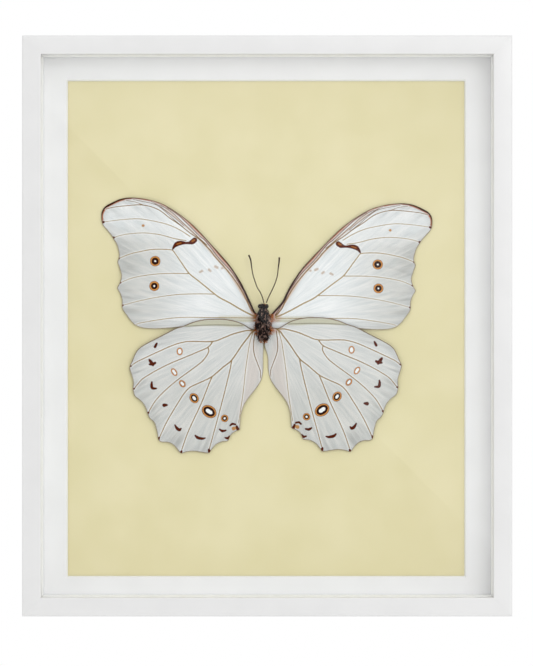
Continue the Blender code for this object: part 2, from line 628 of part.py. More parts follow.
def build_specimen(board):
    """The butterfly, belly out, on a cut pin through the board."""
    scales = finish("white_wing_scales", (0.74, 0.76, 0.77), 0.6)
    fur = finish("dark_body_fur", (0.035, 0.022, 0.018), 0.9)
    thorax = body_section("thorax", THORAX, fur)
    head = body_section("head", HEAD, fur)
    for side, sign in (("left", -1), ("right", 1)):
        combine(head, eye("eye_" + side, sign, fur), "UNION")
    body_section("abdomen", ABDOMEN, fur)
    room = [body_section("thorax_room", THORAX, fur, grow=GAP), body_section("abdomen_room", ABDOMEN, fur, grow=GAP)]
    wings = []
    right_outline = HINDWING_OUTLINE[:-len(RIGHT_INNER_MARGIN)] + RIGHT_INNER_MARGIN
    for side, sign, fore_fit, hind_fit, hind_outline in (
            ("left", -1, AS_DRAWN, AS_DRAWN, HINDWING_OUTLINE),
            ("right", 1, RIGHT_FOREWING, RIGHT_HINDWING, right_outline)):
        wings.append(wing("forewing_" + side, FOREWING_OUTLINE, FOREWING_VEINS, forewing_lift, sign,
                          fore_fit, scales))
        wings.append(wing("hindwing_" + side, hind_outline, HINDWING_VEINS, hindwing_lift, sign,
                          hind_fit, scales))
    for piece in wings:
        for clearance in room:
            combine(piece, clearance, "DIFFERENCE")
    antenna("antenna_left", ANTENNA_LEFT, -1, fur)
    antenna("antenna_right", ANTENNA_RIGHT, 1, fur)
    place = (SPECIMEN_X + BODY_SHIFT, SPECIMEN_Z)
    tip = BODY_Y + 3.2 * MM - PIN_IN_BODY
    tail = BOARD_Y + BOARD_THICK
    steel = finish("pin_steel", (0.6, 0.6, 0.6), 0.3, metallic=1.0)
    turned("mounting_pin", [(tip, PIN_RADIUS * 0.2), (tip + MM, PIN_RADIUS), (tail, PIN_RADIUS)], place, steel,
           segments=12)
    bore = PIN_RADIUS + GAP
    hole = turned("pin_hole", [(tip - GAP, bore), (tail + GAP, bore)], place, steel, segments=12)
    combine(board, hole, "DIFFERENCE")
    combine(thorax, hole, "DIFFERENCE")


clear_scene()
build_specimen(build_frame())
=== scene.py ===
import math

import bmesh
import bpy
import numpy as np
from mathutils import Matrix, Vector, geometry


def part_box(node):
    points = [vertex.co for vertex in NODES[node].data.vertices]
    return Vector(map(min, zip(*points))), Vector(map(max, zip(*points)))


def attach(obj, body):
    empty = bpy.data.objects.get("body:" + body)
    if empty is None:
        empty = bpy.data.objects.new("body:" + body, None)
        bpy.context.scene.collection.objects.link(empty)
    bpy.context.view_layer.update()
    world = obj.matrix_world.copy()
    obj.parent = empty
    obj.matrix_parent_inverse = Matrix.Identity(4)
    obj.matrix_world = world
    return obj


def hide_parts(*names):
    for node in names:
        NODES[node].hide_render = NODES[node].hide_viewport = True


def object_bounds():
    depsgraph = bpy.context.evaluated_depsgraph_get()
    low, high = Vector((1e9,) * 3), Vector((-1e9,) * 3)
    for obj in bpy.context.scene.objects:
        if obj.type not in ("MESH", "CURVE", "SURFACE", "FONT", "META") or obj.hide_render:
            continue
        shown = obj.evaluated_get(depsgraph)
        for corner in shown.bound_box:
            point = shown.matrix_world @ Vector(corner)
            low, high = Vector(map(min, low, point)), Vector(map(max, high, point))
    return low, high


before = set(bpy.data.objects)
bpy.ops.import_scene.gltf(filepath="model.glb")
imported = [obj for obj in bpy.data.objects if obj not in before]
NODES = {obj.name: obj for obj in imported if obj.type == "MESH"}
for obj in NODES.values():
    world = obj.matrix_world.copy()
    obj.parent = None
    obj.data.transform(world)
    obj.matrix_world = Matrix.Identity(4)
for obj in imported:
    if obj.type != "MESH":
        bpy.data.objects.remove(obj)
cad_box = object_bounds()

MM = 0.001

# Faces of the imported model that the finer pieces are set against
BOARD_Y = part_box("mount_board")[0].y
FRAME_LOW, FRAME_HIGH = (Vector(corner) for corner in cad_box)
CENTRE_Z = (FRAME_LOW.z + FRAME_HIGH.z) / 2

# The moulding: how wide its face and its wall are, where its lip ends, and how round its front edges are
GAP = 0.3 * MM
RAIL_FACE = FRAME_HIGH.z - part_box("rail_top")[0].z
RAIL_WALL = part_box("mat")[0].x - GAP - FRAME_LOW.x
LIP_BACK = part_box("glass")[0].y - GAP
OUTER_ROUND = 0.7 * MM
INNER_ROUND = 0.4 * MM
BACK_ROUND = 0.3 * MM
MITRE_SEAM = 0.01 * MM

# The butterfly's middle, and the heights of its wings over the board in millimetres
SPECIMEN_X = -1.2 * MM
SPECIMEN_Z = CENTRE_Z + 1.1 * MM
BODY_X = SPECIMEN_X - 0.3 * MM
BODY_Y = BOARD_Y - 3.5 * MM
FOREWING_LIFT = 0.62
WING_CREST = 0.45
HINDWING_STEP = 0.56
MEMBRANE = 0.16
VEIN_RISE = 0.13
SHEET_SPACING = 0.27
BACK_SPACING = 2.2
RIM_SPACING = 0.3

# A wing crests half way along one length and droops with the square of its share of another, and the
# hindwing falls at its rear and inner edges, all in millimetres
CREST_SPAN = 66
DROOP_SPAN = 60
TIP_DROOP = 0.3
REAR_FALL = 0.7
INNER_FALL = 0.72

# A painted stroke is measured in runs of this many stretches, out to this many millimetres, and these are
# the kinds of stroke that a wing may have
STROKE_RUN = 12
STROKE_FIELDS = ("mark", "ochre", "smudge", "costa", "band", "overlap", "overlap_line", "fold_tint",
                 "mark_core", "root")
NEAR_STROKE = 4.5
FAR = 9.0

# Points nearer than this are one, in metres
WELD = 1e-6

# How bright the white room is as light, where 1 is pure white
ROOM_LIGHT = 0.82

# The frame hangs at this height over the floor
HANGING_HEIGHT = 0.8

# Wing points in millimetres for the left wings: out from the body's line, and up from its middle
FOREWING_OUTLINE = [
    (1.0, 2.6), (3.2, 4.0), (5.3, 8.4), (7.2, 12.4), (9.1, 16.0), (13.0, 21.9), (18.5, 28.2), (25.6, 35.9),
    (29.9, 39.7), (33.9, 42.6), (37.7, 44.9), (41.5, 46.4), (46.0, 47.4), (51.0, 47.8), (54.9, 47.2),
    (58.7, 45.5), (60.8, 44.1), (61.8, 42.3), (62.0, 40.0), (61.5, 37.5), (59.8, 35.4), (58.1, 33.3),
    (57.4, 32.1), (56.0, 29.7), (55.2, 26.3), (55.4, 24.5), (55.8, 23.2), (55.0, 20.8), (54.3, 17.9),
    (55.0, 15.2), (55.9, 13.3), (54.9, 11.4), (54.1, 8.8), (54.0, 5.7), (52.4, 3.1), (49.9, -0.1),
    (47.2, -1.6), (43.4, -2.1), (37.7, -2.0), (30.1, -1.3), (22.0, -0.8), (13.0, -1.1), (7.6, -1.9),
    (3.6, -2.3), (1.0, -1.2),
]
FOREWING_VEINS = {
    "radius": [(3.0, 2.9), (5.2, 5.6), (6.7, 8.8), (9.5, 13.9), (13.4, 19.3), (18.7, 25.3), (20.6, 27.8),
               (24.4, 31.6), (28.2, 34.3), (32.0, 37.3), (35.8, 39.9), (39.6, 42.8), (43.4, 44.4),
               (47.2, 45.0), (51.0, 44.8), (56.8, 44.2), (60.2, 43.4)],
    "cubitus": [(2.9, 2.3), (5.3, 3.3), (9.1, 5.3), (13.0, 7.6), (16.8, 9.6), (19.0, 11.2), (24.4, 15.6),
                (28.2, 18.6), (30.1, 21.0), (32.0, 23.8), (33.9, 26.5), (35.2, 27.8), (39.6, 28.1),
                (43.4, 27.9), (47.2, 27.2), (51.0, 26.3), (55.4, 24.6)],
    "median_upper": [(28.2, 33.0), (32.0, 35.4), (35.8, 37.2), (39.6, 38.3), (45.3, 39.4), (49.1, 39.7),
                     (54.9, 39.3), (61.3, 38.5)],
    "median_middle": [(29.7, 31.4), (33.9, 32.1), (39.6, 33.6), (45.3, 34.3), (51.0, 34.0), (54.9, 33.3),
                      (57.5, 32.4)],
    "cubital_upper": [(28.4, 18.8), (35.8, 18.9), (41.5, 18.6), (47.2, 17.8), (51.0, 16.9), (55.0, 15.2)],
    "cubital_lower": [(19.1, 11.0), (24.4, 11.1), (32.0, 10.9), (39.6, 10.0), (47.2, 8.5), (54.0, 6.7)],
    "anal": [(3.2, 1.6), (5.3, 1.9), (21.7, 2.1), (32.0, 2.1), (39.6, 1.3), (47.2, 0.0), (48.8, -0.7)],
    "subcosta": [(2.8, 3.2), (4.4, 5.8), (8.2, 13.0), (12.4, 19.4), (17.5, 25.1), (22.1, 31.05),
                 (24.4, 33.0), (28.2, 36.8), (30.1, 38.7), (32.8, 41.3), (37.0, 44.1)],
    "radius_first": [(21.7, 29.7), (24.4, 32.0), (28.2, 35.6), (32.0, 39.2), (33.9, 41.1), (36.6, 43.2),
                     (39.6, 45.0)],
    "radius_second": [(30.5, 37.0), (33.9, 40.0), (37.7, 43.05), (40.4, 45.0), (43.05, 46.3)],
    "radius_third": [(30.9, 36.6), (33.5, 38.7), (35.8, 40.8), (38.5, 43.2), (40.8, 44.8), (43.4, 45.7),
                     (47.2, 46.5), (49.9, 47.1)],
    "radius_fourth": [(43.4, 44.4), (46.1, 45.0), (49.1, 46.1), (52.6, 46.7)],
}
HINDWING_OUTLINE = [
    (1.2, -2.6), (4.6, -2.4), (7.4, -0.7), (10.4, 0.6), (14.1, 1.4), (17.2, 1.6), (22.5, 1.4), (27.0, 0.4),
    (30.7, -1.1), (33.8, -2.1), (39.8, -5.2), (44.3, -7.5), (47.3, -9.4), (48.8, -11.2), (50.3, -14.6),
    (51.2, -16.9), (50.5, -19.6), (49.8, -22.1), (49.9, -25.3), (49.2, -27.8), (47.1, -29.5), (45.7, -31.1),
    (44.8, -33.0), (44.3, -34.7), (43.4, -36.4), (41.8, -37.9), (41.0, -40.4), (40.5, -42.9), (40.3, -44.4),
    (39.2, -45.3), (37.0, -45.4), (35.1, -46.0), (33.5, -47.4), (31.7, -49.6), (29.7, -49.1), (27.0, -48.8),
    (24.4, -49.1), (21.0, -49.5), (20.0, -48.2), (18.3, -46.3), (16.0, -45.2), (13.8, -44.9), (13.1, -43.6),
    (12.4, -42.3), (10.5, -41.1), (9.3, -40.6), (9.1, -38.1), (8.8, -34.9), (7.8, -31.6), (6.3, -29.1),
    (4.4, -26.7), (2.5, -24.2), (1.1, -21.7), (0.4, -18.3), (0.3, -13.0), (0.2, -9.1), (0.35, -6.9),
    (1.1, -4.6),
]
HINDWING_VEINS = {
    "sector": [(3.2, -2.7), (5.0, -2.9), (6.7, -2.9), (11.5, -4.1), (15.3, -5.6), (19.5, -7.0),
               (27.7, -7.0), (30.7, -7.3), (34.5, -8.4), (39.8, -10.7), (44.3, -12.8), (48.8, -15.0),
               (50.9, -16.7)],
    "median_upper": [(19.5, -7.0), (21.3, -9.2), (25.5, -11.1), (30.7, -13.3), (35.3, -15.2), (39.8, -17.4),
                     (43.5, -19.5), (46.6, -21.6), (49.6, -25.2)],
    "median_middle": [(21.3, -9.2), (21.1, -11.0), (22.9, -13.9), (25.5, -16.2), (32.3, -21.2),
                      (36.0, -24.2), (39.1, -27.1), (41.7, -30.1), (44.1, -34.2)],
    "cubitus": [(3.6, -2.9), (5.1, -4.0), (5.9, -5.2), (8.5, -8.6), (12.3, -14.1), (15.7, -16.9),
                (19.7, -20.3), (22.9, -22.0), (27.7, -24.2), (30.0, -26.3), (32.3, -29.7), (36.8, -37.2),
                (40.0, -44.0)],
    "cubital_upper": [(19.8, -20.6), (21.0, -23.3), (24.0, -30.8), (27.7, -38.7), (29.6, -43.2),
                      (31.3, -48.2)],
    "cubital_lower": [(12.3, -14.2), (13.1, -18.4), (15.7, -29.0), (18.7, -40.2), (20.8, -47.8)],
    "anal": [(4.2, -3.4), (5.2, -6.6), (5.9, -10.1), (7.0, -17.6), (7.6, -23.3), (8.3, -29.0), (9.7, -38.0)],
    "inner_fold": [(3.5, -3.7), (4.0, -8.2), (3.8, -11.6), (2.5, -15.4), (1.4, -18.4), (1.4, -21.0)],
}
ANTENNA_LEFT = [
    (0.1, 7.7), (0.6, 9.7), (1.5, 11.8), (2.5, 13.3), (3.2, 15.2), (4.0, 17.5), (4.5, 19.8), (4.8, 22.1),
    (5.1, 24.0), (5.8, 25.8),
]
ANTENNA_RIGHT = [
    (0.9, 7.7), (1.5, 9.3), (2.5, 11.4), (3.6, 13.7), (4.5, 16.0), (5.1, 18.3), (5.4, 21.0), (5.7, 23.2),
    (5.8, 24.9),
]

# The right wings are the left ones mirrored, then shifted, turned and stretched as they were set
AS_DRAWN = {"shift": (0.0, 0.0), "turn": 0.0, "stretch": (1.0, 1.0)}
RIGHT_FOREWING = {"shift": (1.4, 0.0), "turn": math.radians(-0.6), "stretch": (1.005, 0.965)}
RIGHT_HINDWING = {"shift": (1.2, 0.6), "turn": 0.0, "stretch": (1.0, 1.0)}

# They also differ where they meet the body: the leading edge's root, its brown line, and the inner margin
RIGHT_ROOT = [(1.0, 2.6), (1.7, 4.0)]
RIGHT_COSTA_ROOT = [(1.4, 2.6, 0.9), (2.2, 4.3, 1.25)]
RIGHT_INNER_MARGIN = [(0.2, -13.4), (-0.75, -10.2), (-1.0, -7.8), (0.3, -5.0)]

# How wide and how dark the line along a wing's rim is: (outline point, half width in millimetres, darkness)
FOREWING_EDGE = [(0, 0.45, 1.0), (2, 0.8, 1.0), (4, 0.6, 1.0), (6, 0.38, 0.8), (8, 0.25, 0.65),
                 (12, 0.24, 0.65), (13, 0.4, 0.85), (15, 0.65, 1.0), (17, 0.45, 0.9), (19, 0.2, 0.4),
                 (40, 0.14, 0.25), (44, 0.14, 0.3)]
HINDWING_EDGE = [(0, 0.3, 0.55), (3, 0.3, 0.55), (5, 0.36, 0.5), (9, 0.32, 0.55), (13, 0.25, 0.5),
                 (16, 0.18, 0.4), (44, 0.16, 0.4), (48, 0.14, 0.25), (50, 0.18, 0.35), (57, 0.14, 0.3)]

# Eyespots: middle, half axes, tilt of the long axis in degrees, and how far in each band starts:
# the dark outline, the orange, the dark iris and the white middle
FOREWING_RINGS = [
    ((41.45, 23.55), (1.95, 1.95), 0, (0.0, 0.14, 0.62, 1.6)),
    ((41.8, 14.1), (1.88, 1.88), 0, (0.0, 0.14, 0.66, 1.54)),
]
HINDWING_RINGS = [
    ((32.1, -10.8), (1.15, 1.45), 0, (0.0, 0.07, 0.42, 0.5)),
    ((34.2, -18.7), (1.0, 1.6), -34, (0.0, 0.08, 0.42, 0.52)),
    ((31.1, -23.1), (1.1, 1.5), -37, (0.0, 0.1, 0.44, 0.62)),
    ((26.6, -28.6), (1.65, 2.0), -36, (0.0, 0.15, 0.55, 1.15)),
    ((20.9, -33.7), (2.25, 2.95), -56, (0.0, 0.2, 0.62, 1.56)),
    ((15.0, -36.3), (1.4, 1.4), 0, (0.0, 0.12, 0.48, 1.0)),
]

# Dark marks as strokes: (out, up, half width)
FOREWING_MARKS = [
    [(34.8, 28.1, 0.15), (34.3, 29.0, 0.4), (33.3, 30.0, 0.75), (31.8, 30.5, 0.72), (30.0, 30.5, 0.4),
     (28.6, 30.5, 0.4), (27.3, 30.9, 0.85), (26.4, 31.6, 0.85)],
    [(57.4, 32.5, 0.4), (57.2, 32.6, 0.3)],
    [(55.4, 24.6, 0.35), (55.2, 24.6, 0.25)],
    [(61.3, 38.4, 0.35), (61.0, 38.5, 0.25)],
    [(54.9, 15.3, 0.3), (54.6, 15.4, 0.2)],
    [(54.0, 6.6, 0.25), (53.7, 6.8, 0.2)],
]
HINDWING_MARKS = [
    [(40.8, -7.7, 0.2), (41.1, -8.3, 0.38), (41.5, -9.1, 0.4)],
    [(43.7, -13.9, 0.2), (43.3, -14.5, 0.5), (42.7, -15.2, 0.45), (42.2, -16.1, 0.3)],
    [(43.6, -15.7, 0.25), (42.6, -15.7, 0.42), (41.5, -15.2, 0.4)],
    [(42.7, -22.4, 0.2), (42.8, -23.6, 0.42), (42.5, -24.8, 0.42), (41.0, -24.9, 0.22)],
    [(38.0, -31.3, 0.62), (37.0, -31.2, 0.28)],
    [(33.9, -38.9, 0.2), (33.3, -39.9, 0.42), (32.7, -40.5, 0.5), (32.1, -40.7, 0.42), (31.6, -40.1, 0.2)],
    [(26.2, -42.8, 0.2), (25.4, -43.6, 0.45), (24.4, -43.9, 0.45), (23.3, -44.0, 0.35), (22.4, -43.8, 0.15)],
    [(16.9, -40.5, 0.2), (15.9, -41.1, 0.42), (14.6, -40.9, 0.22)],
    [(14.8, -43.7, 0.2), (13.8, -43.9, 0.4), (13.2, -43.2, 0.25)],
    [(12.9, -39.1, 0.2), (12.1, -38.4, 0.32), (10.9, -38.6, 0.25)],
    [(9.9, -40.6, 0.5), (10.4, -39.4, 0.32)],
    [(51.0, -16.4, 0.35), (50.6, -16.4, 0.2)],
    [(49.8, -25.1, 0.35), (49.4, -25.0, 0.2)],
    [(44.2, -34.3, 0.35), (43.9, -34.0, 0.2)],
    [(40.2, -44.1, 0.42), (40.0, -43.7, 0.25)],
    [(31.6, -49.3, 0.45), (31.4, -48.8, 0.25)],
    [(20.8, -48.9, 0.5), (21.0, -48.2, 0.3)],
]

# Tan and ochre patches, and faint brown smudges
FOREWING_OCHRE = [
    [(26.9, 31.3, 0.45), (26.8, 31.4, 0.45)],
    [(46.1, 37.1, 0.5), (45.9, 37.1, 0.45)],
]
HINDWING_OCHRE = [[(11.6, -40.2, 0.7), (11.0, -40.0, 0.55)]]
FOREWING_SMUDGES = [
    [(24.4, 19.4, 0.3), (23.6, 19.8, 0.35)],
    [(21.0, 20.3, 0.35), (20.4, 19.8, 0.3)],
    [(18.6, 21.5, 0.4), (17.8, 21.1, 0.4)],
    [(16.1, 20.8, 0.3), (15.3, 21.2, 0.35)],
]

# Paler brown inside the bar's end blobs, the tinted inner fold, and the stained roots of the wings
FOREWING_MARK_CORES = [[(27.3, 31.2, 0.45), (26.6, 31.6, 0.42)], [(33.2, 30.0, 0.3), (31.6, 30.5, 0.28)]]
INNER_FOLD_TINT = [(4.2, -7.5, 1.2), (4.0, -14.0, 2.4), (4.4, -20.0, 2.6), (6.2, -27.0, 1.6),
                   (8.6, -34.0, 0.6)]
FOREWING_ROOT = [(1.2, 2.0, 0.8), (3.4, 2.4, 0.5)]
HINDWING_ROOT = [(1.4, -2.8, 0.6), (3.8, -2.8, 0.4)]

# The orange brown line inside the dark leading edge, and the golden band behind it
COSTA_LINE = [(1.6, 2.6, 0.9), (3.6, 4.3, 1.25), (5.6, 8.6, 1.3), (9.3, 16.1, 1.2), (13.2, 21.9, 1.1),
              (18.7, 28.2, 1.0), (25.8, 35.9, 0.9), (34.0, 42.5, 0.75), (41.5, 46.3, 0.6), (51.0, 47.7, 0.6),
              (58.5, 45.5, 0.9), (61.6, 42.2, 0.7), (61.4, 38.6, 0.3)]
COSTAL_BAND = [(3.4, 3.4, 0.3), (7.4, 9.8, 0.4), (9.4, 13.2, 0.45), (13.2, 19.1, 0.5), (18.8, 25.7, 0.5),
               (24.4, 31.9, 0.45), (31.2, 38.2, 0.35), (37.4, 43.2, 0.3)]

# Painted shade where the two wings lie on each other at the root: the membrane is painted yellow grey there,
# and the forewing's rear edge, seen through the hindwing, as a dark grey line
FOREWING_OVERLAP_SHADE = [(3.4, 1.5, 0.9), (7.5, 1.5, 1.1), (12.0, 1.9, 0.8), (17.0, 2.2, 0.4)]
HINDWING_OVERLAP_SHADE = [(8.0, -0.9, 0.5), (12.0, -0.3, 1.1), (17.0, 0.1, 1.1), (22.5, 0.0, 1.0), (27.0, -0.5, 0.7),
           (30.0, -1.0, 0.3)]
HINDWING_SHOW_THROUGH_SHADE = [(8.0, -0.95, 0.12), (16.8, -0.75, 0.14), (24.4, -0.9, 0.13), (30.1, -1.35, 0.1)]

# Creases in the membrane: (out, up, half width), and how high each stands
FOREWING_FOLDS = [
    ([(61.0, 40.4, 0.5), (54.1, 41.5, 0.3)], 0.12),
    ([(57.5, 35.4, 0.5), (51.8, 36.7, 0.3)], 0.12),
    ([(55.2, 28.6, 0.5), (51.05, 30.2, 0.5), (43.4, 31.4, 0.3)], 0.14),
    ([(54.9, 20.2, 0.6), (51.05, 21.8, 0.55), (45.0, 23.4, 0.3)], 0.26),
    ([(54.1, 10.3, 0.5), (50.3, 12.2, 0.45), (47.2, 13.0, 0.3)], 0.14),
]
HINDWING_FOLDS = [
    ([(43.5, -25.5, 0.3), (46.75, -29.0, 0.5)], 0.12),
    ([(38.7, -32.0, 0.3), (41.7, -37.6, 0.5)], 0.14),
    ([(33.9, -40.8, 0.3), (35.3, -45.7, 0.5)], 0.14),
    ([(26.3, -45.3, 0.3), (26.7, -48.8, 0.5)], 0.12),
]

# Body sections in millimetres: height, half width, half depth, and how far out of the middle
THORAX = [(5.4, 1.3, 1.4, -0.1), (4.8, 1.6, 1.8, -0.1), (3.6, 2.3, 2.5, -0.1), (1.5, 2.9, 3.0, 0.0),
          (-0.8, 3.1, 3.2, 0.0), (-3.2, 2.8, 2.9, -0.1), (-5.0, 1.9, 2.0, -0.3), (-5.8, 1.6, 1.6, -0.4)]
HEAD = [(7.3, 0.6, 0.9, 0.0), (6.6, 1.2, 1.5, 0.0), (5.8, 1.3, 1.6, 0.0), (5.0, 1.2, 1.4, -0.1)]
ABDOMEN = [(-4.9, 1.7, 1.8, -0.3), (-5.8, 1.8, 1.9, -0.4), (-6.6, 1.5, 1.6, -0.4), (-7.2, 0.9, 1.0, -0.5)]

# Hair in millimetres: how far apart the locks stand, how many hairs each has, and how thick these are
LOCK_SPACING = 0.52
LOCK_HAIRS = 11
HAIR_RADIUS = 0.034

# How far a lock's roots and tips are strewn, how far a hair bows out, and by what share it may be shorter
ROOT_SPREAD = 0.24
TUFT_SPREAD = 0.4
TIP_SPREAD = 0.09
HAIR_BOW = 0.12
SHORTER = 0.35

# The form under the hair and the roots of the hair as shares of a section's half width and half depth, then
# how many sides the form has and how far apart its rings are in millimetres
FORM_SHARE = 0.9
ROOT_SHARE = 0.86
FORM_SIDES = 32
RING_SPACING = 0.35

# The eyes in millimetres: out, forward and up from the body's middle, and their half sizes
EYE_PLACE = (1.3, 0.2, 6.35)
EYE_SIZE = (0.78, 1.05, 0.88)

# The feelers' radius and how far they bow forward, in millimetres, and the tones of the feelers and the form
FEELER_RADIUS = 0.2
FEELER_BOW = 0.6
FEELER_TONE = 0.2
FORM_TONE = 0.0

# Tufts where the wings join, in millimetres: out, up, and how far they reach out and up
WING_TUFTS = [(2.7, 3.0, 1.3, 0.5), (2.9, 2.0, 1.6, 0.2), (3.0, 0.9, 1.3, -0.3), (2.9, -1.6, 1.2, -0.2),
              (2.8, -2.6, 1.5, -0.5), (2.6, -3.7, 1.2, -0.9)]

# The paper: its cells each way, how wide and how deep its waves are, and how thick it is, in millimetres
PAPER_GRID = (130, 154)
PAPER_WAVES = ((34, 0.34), (9, 0.12))
PAPER_THICKNESS = 0.14

# Soft lights: where each stands in metres, how wide and how strong it is, and whether the glass mirrors it
LIGHTS = [
    ("front", (0.3, -1.5, CENTRE_Z + 0.3), 2.0, 5.5, False),
    ("rear", (-0.6, 1.5, CENTRE_Z + 0.6), 2.0, 6.0, False),
    ("key", (0.5, -1.45, 0.35), 0.5, 2.4, True),
    ("side", (1.3, -0.40, CENTRE_Z + 0.05), 0.6, 0.6, True),
    ("above", (0.1, -0.40, 1.2), 0.6, 0.6, True),
]

# The camera: its distance in metres, its lens and sensor in millimetres, how far the picture is shifted as
# a share of its width, and the nearest that it sees, in metres
CAMERA_AWAY = 0.9618
LENS = 135
SENSOR = 36
PICTURE_SHIFT = (-0.00105, -0.01066)
NEAREST_SEEN = 0.01


# Small helpers

def linear(code):
    """An sRGB hex colour as linear red, green, blue and full alpha."""
    parts = [int(code[index:index + 2], 16) / 255 for index in (1, 3, 5)]
    return (*(part / 12.92 if part <= 0.04045 else ((part + 0.055) / 1.055) ** 2.4 for part in parts), 1.0)


def add_node(tree, kind, inputs=None, **settings):
    """Add a node with its settings. Each input gets a plain value, or a link when it is given a socket."""
    made = tree.nodes.new(kind)
    for key, value in settings.items():
        setattr(made, key, value)
    for key, value in (inputs or {}).items():
        if isinstance(value, bpy.types.NodeSocket):
            tree.links.new(value, made.inputs[key])
        else:
            made.inputs[key].default_value = value
    return made


def new_material(name, **sockets):
    """A material with a Principled shader whose sockets are set by name."""
    material = bpy.data.materials.new(name)
    material.use_nodes = True
    tree = material.node_tree
    shader = tree.nodes["Principled BSDF"]
    for key, value in sockets.items():
        shader.inputs[key.replace("_", " ")].default_value = value
    return material, tree, shader


def dress(names, material):
    """Give CAD nodes a finished material."""
    for name in names:
        slots = NODES[name].data.materials
        slots.clear()
        slots.append(material)


def settle(piece, nodes, material):
    """A finished piece gets its material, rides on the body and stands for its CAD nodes."""
    piece.data.materials.clear()
    piece.data.materials.append(material)
    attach(piece, "root")
    if nodes:
        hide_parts(*nodes)


def placed(name, data):
    """A new object in the scene that shows the given data."""
    piece = bpy.data.objects.new(name, data)
    bpy.context.scene.collection.objects.link(piece)
    return piece


def only(piece):
    """Select one piece alone, and make it the active one."""
    bpy.ops.object.select_all(action="DESELECT")
    piece.select_set(True)
    bpy.context.view_layer.objects.active = piece


def named_active(name, put_in=False):
    """Name what an operator has just added, and put its place into its mesh if asked."""
    piece = bpy.context.active_object
    piece.name = name
    piece.data.name = name
    if put_in:
        bpy.ops.object.transform_apply(location=True, rotation=True, scale=True)
    return piece


def apply_modifier(piece, kind, **settings):
    """Add a modifier with its settings and apply it."""
    only(piece)
    modifier = piece.modifiers.new(kind.title(), kind)
    for key, value in settings.items():
        setattr(modifier, key, value)
    bpy.ops.object.modifier_apply(modifier=modifier.name)


def open_all(piece):
    """Open a piece for editing, with all of it selected."""
    only(piece)
    bpy.ops.object.mode_set(mode="EDIT")
    bpy.ops.mesh.select_all(action="SELECT")


def tidy_piece(piece, angle=35):
    """Merge doubles, turn the faces out, put the place into the mesh and shade the round parts smooth."""
    open_all(piece)
    bpy.ops.mesh.remove_doubles(threshold=WELD)
    bpy.ops.mesh.normals_make_consistent(inside=False)
    bpy.ops.object.mode_set(mode="OBJECT")
    bpy.ops.object.transform_apply(location=True, rotation=True, scale=True)
    bpy.ops.object.shade_smooth_by_angle(angle=math.radians(angle))


# Wings

def smooth_line(points, spacing, closed=False):
    """Points at most that far apart on the smooth curve through the given rows of numbers."""
    rows = np.array(points, float)
    count = len(rows)
    line = []
    for index in range(count if closed else count - 1):
        near = np.arange(index - 1, index + 3)
        before, start, end, after = rows[near % count if closed else near.clip(0, count - 1)]
        steps = max(1, math.ceil(np.linalg.norm((end - start)[:2]) / spacing))
        for step in range(steps):
            t = step / steps
            line.append(0.5 * (2 * start + (end - before) * t
                               + (2 * before - 5 * start + 4 * end - after) * t ** 2
                               + (3 * start - before - 3 * end + after) * t ** 3))
    if not closed:
        line.append(rows[-1])
    return np.array(line)


def stroke_field(points, lines, spacing=0.6, closed=False, reach=NEAR_STROKE):
    """How far each point is outside the nearest stroke, in millimetres: below zero it is on the stroke.

    A stroke's rows are out, up and half width, and further numbers come back blended at the nearest place.
    Points that no stroke comes near keep the value FAR.
    """
    columns = len(lines[0][0]) - 3
    field = np.full(len(points), FAR)
    extras = np.zeros((len(points), columns))
    for line in lines:
        smooth = smooth_line(line, spacing, closed)
        starts = smooth if closed else smooth[:-1]
        ends = np.roll(smooth, -1, axis=0) if closed else smooth[1:]
        for first in range(0, len(starts), STROKE_RUN):
            start = starts[first:first + STROKE_RUN]
            stretch = ends[first:first + STROKE_RUN] - start
            both = np.concatenate((start, start + stretch))[:, :2]
            near = ((points > both.min(0) - reach) & (points < both.max(0) + reach)).all(1)
            near = np.flatnonzero(near)
            if not len(near):
                continue
            offset = points[near, None, :] - start[None, :, :2]
            squared = np.maximum((stretch[:, :2] ** 2).sum(1), 1e-12)
            share = np.clip((offset * stretch[None, :, :2]).sum(2) / squared, 0.0, 1.0)
            away = np.linalg.norm(offset - share[..., None] * stretch[None, :, :2], axis=2)
            away -= start[None, :, 2] + share * stretch[None, :, 2]
            best = away.argmin(1)
            row = np.arange(len(near))
            closer = away[row, best] < field[near]
            chosen, best, row = near[closer], best[closer], row[closer]
            field[chosen] = away[row, best]
            extras[chosen] = start[best, 3:] + share[row, best, None] * stretch[best, 3:]
    return (field, extras) if columns else field


def ring_field(points, middle, axes, tilt):
    """How far each point is outside an oval, measured from its middle."""
    turn = math.radians(tilt)
    offset = points - np.array(middle)
    across = offset[:, 0] * math.cos(turn) + offset[:, 1] * math.sin(turn)
    along = offset[:, 1] * math.cos(turn) - offset[:, 0] * math.sin(turn)
    scaled = np.maximum(np.hypot(across / axes[0], along / axes[1]), 1e-6)
    return np.hypot(across, along) * (1 - 1 / scaled)


def smooth_step(low, high, value):
    """Zero below low, one above high, and a smooth rise between."""
    share = np.clip((value - low) / (high - low), 0.0, 1.0)
    return share * share * (3 - 2 * share)


def crest(u):
    """How high the middle of a wing stands over the board, by how far out it is."""
    return FOREWING_LIFT + WING_CREST * np.sin(math.pi * u / CREST_SPAN) - TIP_DROOP * (u / DROOP_SPAN) ** 2


def forewing_lift(points):
    """The forewing crests half way out, with soft waves near its margin."""
    u, v = points[:, 0], points[:, 1]
    waves = 0.09 * (np.hypot(u, v) / 62) ** 3 * np.sin(7.5 * np.arctan2(v, u) * math.pi + 0.6)
    return crest(u) + waves


